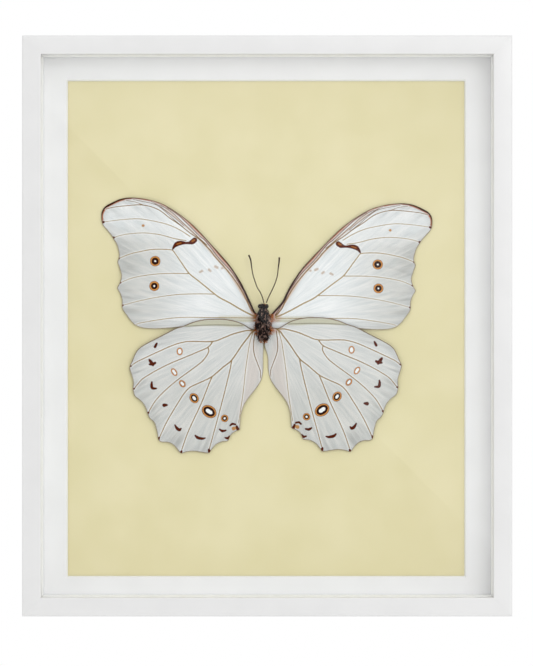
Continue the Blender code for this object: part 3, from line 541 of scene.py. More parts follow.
def hindwing_lift(points):
    """The hindwing lies on the forewing, and comes down towards the board at its rear and inner edges."""
    u, v = points[:, 0], points[:, 1]
    down = np.clip((-v - 6) / 42, 0.0, 1.0) ** 1.5
    waves = 0.10 * (np.hypot(u, v) / 55) ** 3 * np.sin(9.0 * np.arctan2(-v, u) * math.pi)
    inner = (1 - smooth_step(0.5, 6.0, u)) * smooth_step(5.0, 12.0, -v)
    return crest(u) + HINDWING_STEP - REAR_FALL * down - INNER_FALL * inner + waves * (0.2 + 0.8 * down)


def forewing_dusk(points):
    """How grey the forewing is: most in its lower outer part, least at the root and the tip."""
    outer = smooth_step(22, 50, points[:, 0])
    return outer * (1 - 0.8 * smooth_step(26, 40, points[:, 1]))


def hindwing_dusk(points):
    """The hindwing is greyer all over, and most towards its rear and its inner edge."""
    rear = smooth_step(8, 36, -points[:, 1])
    inner = 1 - smooth_step(3, 10, points[:, 0])
    return 0.72 + 0.35 * rear + 0.05 * inner


def inside_outline(points, loop):
    """Which points are inside a closed outline."""
    within = np.zeros(len(points), bool)
    for a, b in zip(loop, np.roll(loop, -1, axis=0)):
        if a[1] != b[1]:
            crosses = (a[1] > points[:, 1]) != (b[1] > points[:, 1])
            within ^= crosses & (points[:, 0] < a[0] + (points[:, 1] - a[1]) * (b[0] - a[0]) / (b[1] - a[1]))
    return within


def inset(points, rim):
    """How far inside a closed outline each point is, in millimetres: the outline is taken as it stands."""
    return stroke_field(points, [np.column_stack((rim, np.zeros(len(rim))))], FAR, closed=True)


def even_points(rim, spacing, clear):
    """An even triangular scatter inside the outline, clear of its rim."""
    low = rim.min(0)
    high = rim.max(0)
    rise = spacing * math.sqrt(0.75)
    grid = []
    for row, v in enumerate(np.arange(low[1], high[1], rise)):
        across = np.arange(low[0] + (row % 2) * spacing / 2, high[0], spacing)
        grid.append(np.column_stack((across, np.full(len(across), v))))
    points = np.concatenate(grid)
    points = points[inside_outline(points, rim)]
    return points[inset(points, rim) > clear]


def dense_spots(middles, reach, spacing):
    """Extra points round the small marks, so that their edges come out round."""
    points = []
    for middle in middles:
        for radius in np.arange(spacing, reach, spacing):
            count = max(6, round(2 * math.pi * radius / spacing))
            turn = np.arange(count) * 2 * math.pi / count
            away = (radius * np.cos(turn), radius * np.sin(turn))
            points.append(np.column_stack((middle[0] + away[0], middle[1] + away[1])))
    return np.concatenate(points)


def triangulate(rim, extra, edges):
    """Fill the outline with triangles: flat points, faces, and which of them are the rim's, in order."""
    count = len(rim)
    loop = [(index, (index + 1) % count) for index in range(count)]
    shifted = [(a + count, b + count) for a, b in edges]
    given = [Vector(point) for point in (*rim, *extra)]
    filled = geometry.delaunay_2d_cdt(given, loop + shifted, [list(range(count))], 1, 0.002)
    flat, _, faces, sources, _, _ = filled
    order = [0] * count
    for corner, source in enumerate(sources):
        for index in source:
            if index < count:
                order[index] = corner
    return np.array([tuple(point) for point in flat]), faces, order


def wing(name, spec, sign, fit):
    """One wing as a closed thin sheet: relief and painted fields on its front, a plain coarse back."""
    rim = smooth_line(spec["outline"], RIM_SPACING, closed=True)
    vein_lines = spec["vein_lines"]
    vein_points = []
    vein_edges = []
    for line in vein_lines:
        run = smooth_line([row[:2] for row in line], SHEET_SPACING)
        keep = inside_outline(run, rim) & (inset(run, rim) > SHEET_SPACING * 0.8)
        before = None
        for place, kept in zip(run, keep):
            if kept:
                vein_points.append(place)
                if before is not None:
                    vein_edges.append((before, len(vein_points) - 1))
                before = len(vein_points) - 1
            else:
                before = None
    filler = even_points(rim, SHEET_SPACING, SHEET_SPACING * 0.7)
    spots = dense_spots([ring[0] for ring in spec["rings"]], 3.0, SHEET_SPACING * 0.6)
    clear_of_veins = stroke_field(filler, [[(*row[:2], 0.0) for row in line] for line in vein_lines]) > 0.12
    extra = np.concatenate((np.array(vein_points), filler[clear_of_veins], spots))
    flat, faces, order = triangulate(rim, extra, vein_edges)
    fields = wing_fields(flat, spec)
    lift = spec["lift"](flat)
    front_height = lift + MEMBRANE / 2 + fields.pop("relief")
    back_flat, back_faces, back_order = triangulate(rim, even_points(rim, BACK_SPACING, 1.0), [])
    back_height = spec["lift"](back_flat) - MEMBRANE / 2

    def place(points, height):
        u = points[:, 0] * fit["stretch"][0]
        v = points[:, 1] * fit["stretch"][1]
        cos = math.cos(fit["turn"])
        sin = math.sin(fit["turn"])
        x = SPECIMEN_X + sign * (u * cos - v * sin + fit["shift"][0]) * MM
        z = SPECIMEN_Z + (u * sin + v * cos + fit["shift"][1]) * MM
        return np.column_stack((x, BOARD_Y - height * MM, z))

    corners = np.concatenate((place(flat, front_height), place(back_flat, back_height)))
    shift = len(flat)
    polygons = [tuple(face) if sign < 0 else tuple(reversed(face)) for face in faces]
    for face in back_faces:
        polygons.append(tuple(index + shift for index in (reversed(face) if sign < 0 else face)))
    count = len(rim)
    for index in range(count):
        following = (index + 1) % count
        wall = (order[index], order[following], back_order[following] + shift, back_order[index] + shift)
        polygons.append(tuple(reversed(wall)) if sign < 0 else wall)
    mesh = bpy.data.meshes.new(name)
    mesh.from_pydata(corners.tolist(), [], polygons)
    mesh.validate()
    for key, values in fields.items():
        whole = np.concatenate((values, np.full((len(back_flat),) + values.shape[1:], FAR)))
        kind, member = ("FLOAT", "value") if values.ndim == 1 else ("FLOAT_VECTOR", "vector")
        stored = mesh.attributes.new(key, kind, "POINT")
        stored.data.foreach_set(member, whole.astype(np.float32).ravel())
    mesh.shade_smooth()
    settle(placed(name, mesh), [name], SCALES)


def edge_rows(outline, edge):
    """The outline's points with the half width and the darkness of the line along them."""
    index = np.arange(len(outline))
    known = [row[0] for row in edge]
    width = np.interp(index, known, [row[1] for row in edge])
    dark = np.interp(index, known, [row[2] for row in edge])
    return np.column_stack((np.array(outline), width, dark))


def wing_fields(points, spec):
    """What the wing material paints by, and the height of the relief, at each point."""
    vein, tone = stroke_field(points, spec["vein_lines"])
    rim, dark = stroke_field(points, [edge_rows(spec["outline"], spec["edge"])], closed=True)
    fields = {"vein": vein, "vein_tone": tone[:, 0], "rim": rim, "rim_tone": dark[:, 0]}
    far = np.full(len(points), FAR)
    bands = {key: far for key in ("outline", "orange", "iris", "pupil")}
    for middle, axes, tilt, steps in spec["rings"]:
        oval = ring_field(points, middle, axes, tilt)
        for key, step in zip(bands, steps):
            bands[key] = np.minimum(bands[key], oval + step)
    fields.update(bands)
    for key in STROKE_FIELDS:
        fields[key] = stroke_field(points, spec[key]) if key in spec else far
    reach = np.hypot(points[:, 0], points[:, 1])
    turn = np.arctan2(points[:, 1], points[:, 0])
    fields["ray"] = np.column_stack((turn * 30, reach, np.zeros(len(points))))
    fields["dusk"] = spec["dusk"](points)
    depth = stroke_field(points, [[(u, v, 0.0) for u, v in spec["outline"]]], 3.0, closed=True, reach=FAR)
    fields["near_rim"] = (1 - smooth_step(0.3, 0.95 * FAR, depth)) * smooth_step(24, 42, reach)
    ridge = VEIN_RISE * smooth_step(-0.35, 0.25, -vein) * smooth_step(0.0, 0.8, rim)
    pillow = 0.05 * smooth_step(0.2, 3.0, vein)
    folds = np.zeros(len(points))
    for line, height in spec["folds"]:
        away = stroke_field(points, [line])
        folds += height * (smooth_step(-0.8, 0.3, -away) - 0.45 * np.exp(-((away - 1.0) / 0.5) ** 2))
    fields["relief"] = ridge + pillow + np.maximum(folds, -0.08)
    return fields


def wing_spec(outline, veins, edge, widths, rings, folds, lift, dusk, **strokes):
    """Everything that makes one kind of wing, with each vein's taper and tone worked out."""
    lines = []
    for key, points in veins.items():
        start, end, tone = widths.get(key, widths["usual"])
        share = np.linspace(0.0, 1.0, len(points))
        lines.append([(u, v, start + (end - start) * part, tone) for (u, v), part in zip(points, share)])
    return {"outline": outline, "vein_lines": lines, "edge": edge, "rings": rings, "folds": folds,
            "lift": lift, "dusk": dusk, **strokes}


FOREWING = wing_spec(
    FOREWING_OUTLINE, FOREWING_VEINS, FOREWING_EDGE,
    {"usual": (0.17, 0.12, 0.6), "cubitus": (0.3, 0.14, 0.6), "radius": (0.24, 0.14, 1.0),
     "subcosta": (0.17, 0.14, 1.4), "radius_first": (0.13, 0.12, 1.3), "radius_second": (0.11, 0.1, 1.3),
     "radius_third": (0.12, 0.1, 1.3), "radius_fourth": (0.1, 0.1, 1.1)},
    FOREWING_RINGS, FOREWING_FOLDS, forewing_lift, forewing_dusk,
    mark=FOREWING_MARKS, ochre=FOREWING_OCHRE, smudge=FOREWING_SMUDGES, costa=[COSTA_LINE],
    band=[COSTAL_BAND], overlap=[FOREWING_OVERLAP_SHADE], mark_core=FOREWING_MARK_CORES, root=[FOREWING_ROOT])
HINDWING = wing_spec(
    HINDWING_OUTLINE, HINDWING_VEINS, HINDWING_EDGE,
    {"usual": (0.22, 0.17, 0.85), "sector": (0.26, 0.17, 0.8), "cubitus": (0.28, 0.18, 0.85),
     "anal": (0.14, 0.14, 0.65), "inner_fold": (0.2, 0.14, 1.1)},
    HINDWING_RINGS, HINDWING_FOLDS, hindwing_lift, hindwing_dusk,
    mark=HINDWING_MARKS, ochre=HINDWING_OCHRE, overlap=[HINDWING_OVERLAP_SHADE], overlap_line=[HINDWING_SHOW_THROUGH_SHADE],
    fold_tint=[INNER_FOLD_TINT], root=[HINDWING_ROOT])


# Materials

def object_place(tree):
    """The place on the object, in metres."""
    return add_node(tree, "ShaderNodeTexCoord").outputs["Object"]


def stored_value(tree, name, output="Fac"):
    """What the mesh holds for its points under that name."""
    return add_node(tree, "ShaderNodeAttribute", attribute_name=name).outputs[output]


def worked(tree, operation, *values):
    """The result of a sum on plain values or sockets."""
    return add_node(tree, "ShaderNodeMath", dict(enumerate(values)), operation=operation).outputs[0]


def times(tree, first, second):
    """Two places or colours multiplied number by number."""
    return add_node(tree, "ShaderNodeVectorMath", {0: first, 1: second}, operation="MULTIPLY").outputs[0]


def soft_noise(tree, place, scale, detail, roughness=0.5):
    """Noise between 0 and 1, with that many patterns per unit of place."""
    return add_node(tree, "ShaderNodeTexNoise", {"Vector": place, "Scale": scale, "Detail": detail,
                                                 "Roughness": roughness}).outputs["Fac"]


def ranged(tree, value, low=0.0, high=1.0, start=0.0, end=1.0, curve="LINEAR"):
    """A value moved from one range, low to high, to another, start to end."""
    return add_node(tree, "ShaderNodeMapRange", {"Value": value, 1: low, 2: high, 3: start, 4: end},
                    interpolation_type=curve).outputs[0]


def mixed(tree, share, first, second):
    """One colour turned into another by a share: each is a hex code or a socket."""
    first, second = (linear(colour) if isinstance(colour, str) else colour for colour in (first, second))
    return add_node(tree, "ShaderNodeMix", {0: share, 6: first, 7: second}, data_type="RGBA").outputs[2]


def finish_shader(tree, shader, colour, height=None, strength=0.6, depth=0.0):
    """Give the shader its colour, and a fine relief that deep in metres."""
    tree.links.new(colour, shader.inputs["Base Color"])
    if height is not None:
        bump = add_node(tree, "ShaderNodeBump", {"Height": height, "Strength": strength, "Distance": depth})
        tree.links.new(bump.outputs[0], shader.inputs["Normal"])


def wing_scales():
    """Butterfly wing: matt white scales in streaks, brown veins, dark margins, eyespots and marks, with
    painted shade for the pleats and where the wings overlap, and a painted highlight beside the veins.
    """
    material, tree, shader = new_material("white_wing_scales", Roughness=0.7, Specular_IOR_Level=0.05)
    place = object_place(tree)
    ray = stored_value(tree, "ray", "Vector")
    # Scale rows are 0.1 mm apart, too fine to show, so streaks along the rays are drawn about 0.8 mm wide
    streak = soft_noise(tree, times(tree, ray, (1.2, 0.07, 1.0)), 1.0, 4.0, 0.65)
    grain = soft_noise(tree, place, 3200.0, 2.0)
    colour = mixed(tree, ranged(tree, streak, 0.34, 0.66), "#E3E8EA", "#FCFDFD")
    cloud = soft_noise(tree, place, 110.0, 3.0)
    colour = mixed(tree, ranged(tree, cloud, 0.45, 0.75, end=0.45), colour, "#E6EAEA")
    # Painted shade: the pleats of the membrane are drawn as grey rays 2 to 4 mm wide that fade out some way
    # inside the margin
    pleat_shade_noise = soft_noise(tree, times(tree, ray, (0.75, 0.03, 1.0)), 1.0, 2.5, 0.6)
    pleat_shade = ranged(tree, pleat_shade_noise, 0.45, 0.68, end=0.6)
    pleat_shade = worked(tree, "MULTIPLY", pleat_shade, stored_value(tree, "near_rim"))
    colour = mixed(tree, pleat_shade, colour, "#A9ABAA")
    colour = times(tree, colour, mixed(tree, stored_value(tree, "dusk"), "#FFFFFF", "#E2E0DC"))
    rim_colour = mixed(tree, stored_value(tree, "rim_tone"), "#B59C80", "#2A0800")
    vein_tone = stored_value(tree, "vein_tone")
    vein_colour = mixed(tree, vein_tone, "#C9B684", "#86662E")
    vein_colour = mixed(tree, ranged(tree, vein_tone, 1.0, 1.5), vein_colour, "#4A200C")
    # Each layer: its field, the two distances in millimetres over which it fades, its colour, its strength
    layers = [
        ("rim", 0.2, 3.0, "#C3C5C4", 0.45),
        ("fold_tint", -1.5, 2.0, "#D8CDC6", 0.6),
        ("band", -0.3, 0.3, "#B98348", 0.75),
        ("costa", -0.35, 0.2, "#A8561A", 0.95),
        # Painted shade where the wings overlap at the root, and the forewing's edge seen through the
        # hindwing as a dark grey line
        ("overlap", -0.4, 0.5, "#C6C3A6", 0.75),
        ("overlap_line", -0.06, 0.25, "#86826C", 0.75),
        ("smudge", -0.25, 0.4, "#B4906C", 0.65),
        ("root", -0.3, 2.2, "#B4662A", 0.85),
        # Painted highlight: a faint white band along both sides of each vein
        ("vein", 0.05, 0.75, "#FFFFFF", 0.4),
        ("vein", -0.12, 0.12, vein_colour, 0.95),
        ("ochre", -0.15, 0.15, "#C0843A", 0.9),
        ("outline", -0.03, 0.09, "#5A2C12", 0.95),
        ("orange", -0.03, 0.08, "#D28F4A", 1.0),
        ("iris", -0.03, 0.08, "#2E0E04", 1.0),
        ("pupil", -0.03, 0.08, "#F8FAFA", 1.0),
        ("mark", 0.02, 0.22, "#551C06", 1.0),
        ("mark_core", -0.2, 0.12, "#A86428", 0.85),
        ("rim", -0.1, 0.12, rim_colour, 0.97),
    ]
    ragged = worked(tree, "SUBTRACT", grain, 0.5)
    for field, near, far, tint, strength in layers:
        away = worked(tree, "MULTIPLY_ADD", ragged, 0.25, stored_value(tree, field))
        colour = mixed(tree, ranged(tree, away, near, far, strength, 0.0, "SMOOTHSTEP"), colour, tint)
    height = worked(tree, "MULTIPLY_ADD", grain, 0.25, streak)
    finish_shader(tree, shader, colour, height, 0.35, 0.12 * MM)
    return material


def plain_surface(name, low, high, scale, bump_scale, bump_depth, stretch=(1, 1, 1), **sockets):
    """A surface whose colour drifts between two tones, with a fine relief: scales are patterns per metre."""
    material, tree, shader = new_material(name, **sockets)
    drawn = times(tree, object_place(tree), stretch)
    share = ranged(tree, soft_noise(tree, drawn, scale, 4.0), 0.35, 0.65)
    fine = soft_noise(tree, drawn, bump_scale, 3.0)
    finish_shader(tree, shader, mixed(tree, share, low, high), fine, depth=bump_depth)
    return material


def float_glass():
    """Clear float glass with polished faces, which shows only as a faint gloss over the card and board."""
    material, tree, shader = new_material("clear_float_glass", Roughness=0.0, IOR=1.5,
                                          Transmission_Weight=1.0, Specular_IOR_Level=0.2)
    haze = soft_noise(tree, object_place(tree), 14.0, 2.0)
    finish_shader(tree, shader, mixed(tree, haze, "#FCFEFD", "#FFFFFF"))
    return material


def body_fur():
    """Insect hair: near black brown, with grey pink and orange tufts picked out hair by hair."""
    material, tree, shader = new_material("dark_body_hair", Roughness=0.5, Specular_IOR_Level=0.04)
    ramp = add_node(tree, "ShaderNodeValToRGB", {"Fac": stored_value(tree, "tone")})
    stops = ramp.color_ramp.elements
    stops[0].color = linear("#0C0402")
    stops[1].color = linear("#F6EFE6")
    for position, code in ((0.25, "#34140A"), (0.45, "#9C6E5C"), (0.62, "#D8B8AA"), (0.7, "#B8682C"),
                           (0.8, "#B25E1E"), (0.88, "#C58A50")):
        stops.new(position).color = linear(code)
    shade = ranged(tree, soft_noise(tree, object_place(tree), 2500.0, 2.0), start=0.75, end=1.2)
    finish_shader(tree, shader, times(tree, ramp.outputs["Color"], shade))
    return material


# Rails: smooth satin white paint with a soft sheen and hardly any texture
LACQUER = plain_surface("white_lacquered_wood", "#E6E6E6", "#E9E9E9", 60, 500, 0.03 * MM, Roughness=0.32,
                        Coat_Weight=0.15, Coat_Roughness=0.25)
# Mat: flat cool white card with a fine tooth
CARD = plain_surface("white_mat_card", "#F5F5F6", "#F8F8F9", 90, 2600, 0.05 * MM, Roughness=0.9)
# Strips between glass and mat: a little whiter and smoother than the card
SPACER = plain_surface("white_foam_strip", "#FBFBFB", "#FDFDFD", 90, 1800, 0.05 * MM, Roughness=0.8)
# Board behind the butterfly: matt cream yellow, even but for a slight drift of tone
BOARD = plain_surface("cream_faced_board", "#E9E0B3", "#EEE5BB", 50, 2200, 0.04 * MM, Roughness=0.88)
# Back panel: pressed brown fibre, mottled in spots some millimetres wide
HARDBOARD = plain_surface("brown_hardboard", "#6B4A2F", "#7F5C3D", 400, 1500, 0.1 * MM, Roughness=0.8)
# Paper on the back: light brown with short level fibres, drawn coarser than the real ones
KRAFT = plain_surface("brown_kraft_paper", "#AC885B", "#B59166", 420, 1500, 0.05 * MM, stretch=(1, 1, 5),
                      Roughness=0.82)
# Hanger and nails: bright cool grey metal with a faintly cloudy shine
ZINC = plain_surface("bright_zinc_plated_steel", "#B9BBBE", "#CFD0D2", 350, 1200, 0.02 * MM, Metallic=1.0,
                     Roughness=0.3)
# Pin through the board: plain polished steel
PIN_STEEL = plain_surface("polished_pin_steel", "#A9A9AB", "#C2C2C4", 800, 3000, 0.01 * MM, Metallic=1.0,
                          Roughness=0.22)
# Bumpers: smooth milky grey rubber with a dull sheen
RUBBER = plain_surface("clear_grey_rubber", "#A4A49F", "#B2B2AD", 300, 1500, 0.03 * MM, Roughness=0.5)
# Eyes: glossy black brown with a fine grain of facets, drawn coarser than real ones
EYE = plain_surface("brown_black_compound_eye", "#0D0706", "#2A1510", 1500, 4200, 0.03 * MM, Roughness=0.2,
                    Specular_IOR_Level=0.15, Coat_Weight=0.1, Coat_Roughness=0.1)
SCALES = wing_scales()
FUR = body_fur()


# The case

def block(name, low, high):
    """A cube drawn out to a box between two corners."""
    bpy.ops.object.select_all(action="DESELECT")
    middle = [(a + b) / 2 for a, b in zip(low, high)]
    bpy.ops.mesh.primitive_cube_add(size=1, location=middle, scale=[b - a for a, b in zip(low, high)])
    return named_active(name, put_in=True)


def bevel_edges(piece, chosen, width, segments):
    """Round just the edges whose two ends both pass the test."""
    only(piece)
    bpy.ops.object.mode_set(mode="EDIT")
    bpy.ops.mesh.select_mode(type="EDGE")
    bpy.ops.mesh.select_all(action="DESELECT")
    shape = bmesh.from_edit_mesh(piece.data)
    for edge in shape.edges:
        edge.select_set(all(chosen(corner.co) for corner in edge.verts))
    bmesh.update_edit_mesh(piece.data)
    bpy.ops.mesh.bevel(offset=width, segments=segments, affect="EDGES")
    bpy.ops.object.mode_set(mode="OBJECT")


def rail(name, across, sign):
    """One moulding: a block with a rebate, its ends cut at 45 degrees and its long edges rounded.

    across is the axis along which the rail is off the middle, 0 or 2, and sign is the way it is off.
    """
    along = 2 - across
    outer = (FRAME_HIGH if sign > 0 else FRAME_LOW)[across]
    sides = sorted((outer, outer - sign * RAIL_FACE))
    low, high = FRAME_LOW.copy(), FRAME_HIGH.copy()
    low.y, high.y = (corner.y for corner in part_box(name))
    low[across], high[across] = sides
    piece = block(name + "_moulding", low, high)
    cut = sorted((outer - sign * RAIL_WALL, outer - sign * 2 * RAIL_FACE))
    cut_low, cut_high = low.copy(), high.copy()
    cut_low.y, cut_high.y = LIP_BACK, high.y + RAIL_FACE
    cut_low[across], cut_high[across] = cut
    cut_low[along] -= RAIL_FACE
    cut_high[along] += RAIL_FACE
    cutter = block("rebate_cutter", cut_low, cut_high)
    apply_modifier(piece, "BOOLEAN", object=cutter, operation="DIFFERENCE", solver="EXACT")
    bpy.data.objects.remove(cutter)
    for end in (-1, 1):
        corner = Vector((0.0, 0.0, 0.0))
        corner[across] = outer
        corner[along] = (FRAME_HIGH if end > 0 else FRAME_LOW)[along]
        normal = Vector((0.0, 0.0, 0.0))
        normal[along] = end
        normal[across] = -sign
        open_all(piece)
        bpy.ops.mesh.bisect(plane_co=corner - normal.normalized() * MITRE_SEAM, plane_no=normal,
                            use_fill=True, clear_outer=True)
        bpy.ops.object.mode_set(mode="OBJECT")

    def runs(distance, depth):
        """Picks the corners of the long edge at that distance in from the outside and that depth."""
        return lambda place: (abs(abs(place[across] - outer) - distance) < MITRE_SEAM
                              and abs(place.y - depth) < MITRE_SEAM)

    bevel_edges(piece, runs(0.0, low.y), OUTER_ROUND, 7)
    bevel_edges(piece, runs(RAIL_FACE, low.y), INNER_ROUND, 5)
    bevel_edges(piece, runs(0.0, high.y), BACK_ROUND, 3)
    bevel_edges(piece, runs(RAIL_FACE, LIP_BACK), BACK_ROUND / 2, 2)
    tidy_piece(piece)
    settle(piece, [name], LACQUER)


def kraft_sheet():
    """Paper glued to the backs of the rails, a little slack over the hollow between them."""
    low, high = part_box("dust_cover")
    middle = ((low.x + high.x) / 2, high.y, (low.z + high.z) / 2)
    bpy.ops.object.select_all(action="DESELECT")
    bpy.ops.mesh.primitive_grid_add(x_subdivisions=PAPER_GRID[0], y_subdivisions=PAPER_GRID[1], size=1,
                                    location=middle, rotation=(math.radians(90), 0, 0))
    piece = named_active("kraft_sheet")
    piece.scale = (high.x - low.x, high.z - low.z, 1)
    bpy.ops.object.transform_apply(location=True, rotation=True, scale=True)
    slack = piece.vertex_groups.new(name="slack")
    for vertex in piece.data.vertices:
        x, _, z = vertex.co
        edge = min(x - low.x, high.x - x, z - low.z, high.z - z)
        slack.add([vertex.index], float(smooth_step(RAIL_WALL, 5 * RAIL_WALL, edge)), "REPLACE")
    for size, depth in PAPER_WAVES:
        wave = bpy.data.textures.new("paper_waves", "CLOUDS")
        wave.noise_scale = size * MM
        apply_modifier(piece, "DISPLACE", texture=wave, texture_coords="GLOBAL", direction="Y",
                       mid_level=0.0, strength=-depth * MM, vertex_group="slack")
    apply_modifier(piece, "SOLIDIFY", thickness=PAPER_THICKNESS * MM, offset=-1.0)
    piece.location.y = high.y - max(vertex.co.y for vertex in piece.data.vertices)
    tidy_piece(piece, angle=60)
    settle(piece, ["dust_cover"], KRAFT)


def softened(name, width, material):
    """A copy of a pressed or turned metal solid with its sharp edges taken off."""
    piece = placed(name + "_finished", NODES[name].data.copy())
    open_all(piece)
    bpy.ops.mesh.remove_doubles(threshold=WELD)
    bpy.ops.mesh.dissolve_limited(angle_limit=math.radians(2))
    bpy.ops.object.mode_set(mode="OBJECT")
    apply_modifier(piece, "BEVEL", width=width, segments=3, limit_method="ANGLE",
                   angle_limit=math.radians(40))
    tidy_piece(piece, angle=50)
    settle(piece, [name], material)


def bumper(name):
    """A round pad with a soft edge where it meets the wall."""
    low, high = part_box(name)
    bpy.ops.object.select_all(action="DESELECT")
    bpy.ops.mesh.primitive_cylinder_add(vertices=72, radius=(high.x - low.x) / 2, depth=high.y - low.y,
                                        location=(low + high) / 2, rotation=(math.radians(90), 0, 0))
    piece = named_active(name + "_pad", put_in=True)
    bevel_edges(piece, lambda place: place.y > high.y - MITRE_SEAM, 0.7 * MM, 7)
    bevel_edges(piece, lambda place: place.y < low.y + MITRE_SEAM, 0.15 * MM, 2)
    tidy_piece(piece)
    settle(piece, [name], RUBBER)


def case():
    """The moulding, paper and fittings made finer, and the finishes of the flat layers."""
    rail("rail_left", 0, -1)
    rail("rail_right", 0, 1)
    rail("rail_bottom", 2, -1)
    rail("rail_top", 2, 1)
    kraft_sheet()
    softened("sawtooth_hanger", 0.1 * MM, ZINC)
    for side in ("left", "right"):
        softened("hanger_nail_" + side, 0.12 * MM, ZINC)
        bumper("bumper_" + side)
    dress(["spacer_top", "spacer_bottom", "spacer_left", "spacer_right"], SPACER)
    dress(["mat"], CARD)
    dress(["mount_board"], BOARD)
    dress(["back_panel"], HARDBOARD)
    dress(["mounting_pin"], PIN_STEEL)
    dress(["glass"], float_glass())
    # Light goes straight through the pane to what lies behind it, and only the eye sees its gloss
    NODES["glass"].visible_shadow = False
    NODES["glass"].visible_diffuse = False


# The body

def body_form(name, stations):
    """A section of the body as a closed rounded form under its hair."""
    shell = bmesh.new()
    rows = []
    for up, half_width, half_depth, out in smooth_line(stations, RING_SPACING):
        row = []
        for step in range(FORM_SIDES):
            angle = 2 * math.pi * step / FORM_SIDES
            x = BODY_X + half_width * FORM_SHARE * math.cos(angle) * MM
            y = BODY_Y - out * MM + half_depth * FORM_SHARE * math.sin(angle) * MM
            row.append(shell.verts.new((x, y, SPECIMEN_Z + up * MM)))
        rows.append(row)
    for above, below in zip(rows, rows[1:]):
        for step in range(FORM_SIDES):
            following = (step + 1) % FORM_SIDES
            shell.faces.new((above[step], above[following], below[following], below[step]))
    shell.faces.new(rows[0])
    shell.faces.new(rows[-1])
    bmesh.ops.recalc_face_normals(shell, faces=shell.faces)
    mesh = bpy.data.meshes.new(name)
    shell.to_mesh(mesh)
    shell.free()
    hair_piece(name, mesh, np.full(len(mesh.vertices), FORM_TONE), [name])


def give_tones(mesh, tones):
    """Store how light each point of a hairy mesh is, from 0 to 1."""
    mesh.attributes.new("tone", "FLOAT", "POINT").data.foreach_set("value", np.array(tones, np.float32))


def hair_piece(name, mesh, tones, nodes):
    """Finish a mesh as part of the hairy body, with a tone for each of its points."""
    give_tones(mesh, tones)
    mesh.shade_smooth()
    settle(placed(name, mesh), nodes, FUR)


def lock_of_hair(corners, faces, tones, root, tip, tone, noise, spread=ROOT_SPREAD):
    """A few tapered hairs, three sided, whose roots stand apart and whose tips draw together."""
    way = tip - root
    side = np.cross(way, (0.3, 1.0, 0.2))
    side /= np.linalg.norm(side)
    other = np.cross(way, side)
    other /= np.linalg.norm(other)
    for _ in range(LOCK_HAIRS):
        start = root + noise.normal(0, spread, 2) @ np.array((side, other))
        end = tip + noise.normal(0, TIP_SPREAD, 3) - way * SHORTER * noise.random()
        bow = (start + end) / 2 + HAIR_BOW * np.array((0.0, -1.0, 0.0)) + noise.normal(0, 0.04, 3)
        first = len(corners)
        for middle, thick in ((start, 1.0), (bow, 0.8)):
            for turn in range(3):
                around = 2 * math.pi * turn / 3
                away = side * math.cos(around) + other * math.sin(around)
                corners.append(middle + HAIR_RADIUS * thick * away)
        corners.append(end)
        for turn in range(3):
            a = first + turn
            b = first + (turn + 1) % 3
            faces.append((a, b, b + 3, a + 3))
            faces.append((a + 3, b + 3, first + 6))
        faces.append((first + 2, first + 1, first))
        tones += [min(1.0, max(0.0, tone + noise.normal(0, 0.025)))] * 7


def hair_coat(name, stations, length, seed, tone_at, tufts=()):
    """Locks of hair in rows round the side of a section that shows, leaning to the rear."""
    noise = np.random.default_rng(seed)
    corners = []
    faces = []
    tones = []
    for up, half_width, half_depth, out in smooth_line(stations, LOCK_SPACING):
        count = max(5, round(math.pi * (half_width + half_depth) * 0.6 / LOCK_SPACING))
        for step in range(count):
            angle = math.radians(-200 + 220 * (step + noise.random()) / count)
            outward = np.array((math.cos(angle) / half_width, math.sin(angle) / half_depth, 0.0))
            outward /= np.linalg.norm(outward)
            height = up + LOCK_SPACING * (noise.random() - 0.5)
            root = np.array((half_width * ROOT_SHARE * math.cos(angle),
                             half_depth * ROOT_SHARE * math.sin(angle) - out, height))
            lean = np.array((0.0, 0.0, -0.9)) + noise.normal(0, 0.3, 3)
            tip = root + (outward * 0.55 + lean) * length * (0.7 + 0.5 * noise.random())
            lock_of_hair(corners, faces, tones, root, tip, tone_at(root, noise), noise)
    for side in (-1, 1):
        for u, v, reach, rise in tufts:
            for above in (0.2, 0.9):
                root = np.array((side * (u - 0.5), -above, v))
                tip = root + np.array((side * (reach + 0.5), 0.9, rise))
                lock_of_hair(corners, faces, tones, root, tip, 0.75 + 0.08 * noise.random(), noise,
                             TUFT_SPREAD)
    points = np.array(corners) * MM + np.array((BODY_X, BODY_Y, SPECIMEN_Z))
    points[:, 1] = np.minimum(points[:, 1], BOARD_Y - 0.2 * MM)
    mesh = bpy.data.meshes.new(name)
    mesh.from_pydata(points.tolist(), [], faces)
    hair_piece(name, mesh, tones, [])


def thorax_tone(root, noise):
    """Near black, with grey pink locks strewn over it, pale ones by the wings and orange at the sides."""
    draw = noise.random()
    if abs(abs(root[0]) - 2.4) < 0.6 and abs(root[2] - 1.5) < 0.7:
        return 0.62 if draw < 0.7 else 0.3
    if abs(root[0]) > 2.4:
        return 0.78 if draw < 0.5 else 0.25 * draw
    if draw < 0.26:
        return 0.5 + 0.5 * draw
    return 0.78 if draw > 0.9 and abs(root[0]) > 1.7 else 0.3 * (draw - 0.26) ** 2


def head_tone(root, noise):
    """Near black, with an orange spot at one side of the crown."""
    if root[0] > 0.2 and root[2] > 6.8:
        return 0.78
    return 0.2 * noise.random() ** 2


def tail_tone(root, noise):
    """The abdomen's rear end has an orange and white tuft."""
    draw = noise.random()
    if root[2] < -6.5:
        return 0.78 if draw < 0.6 else 0.97
    return 0.55 if draw < 0.25 else 0.3 * draw


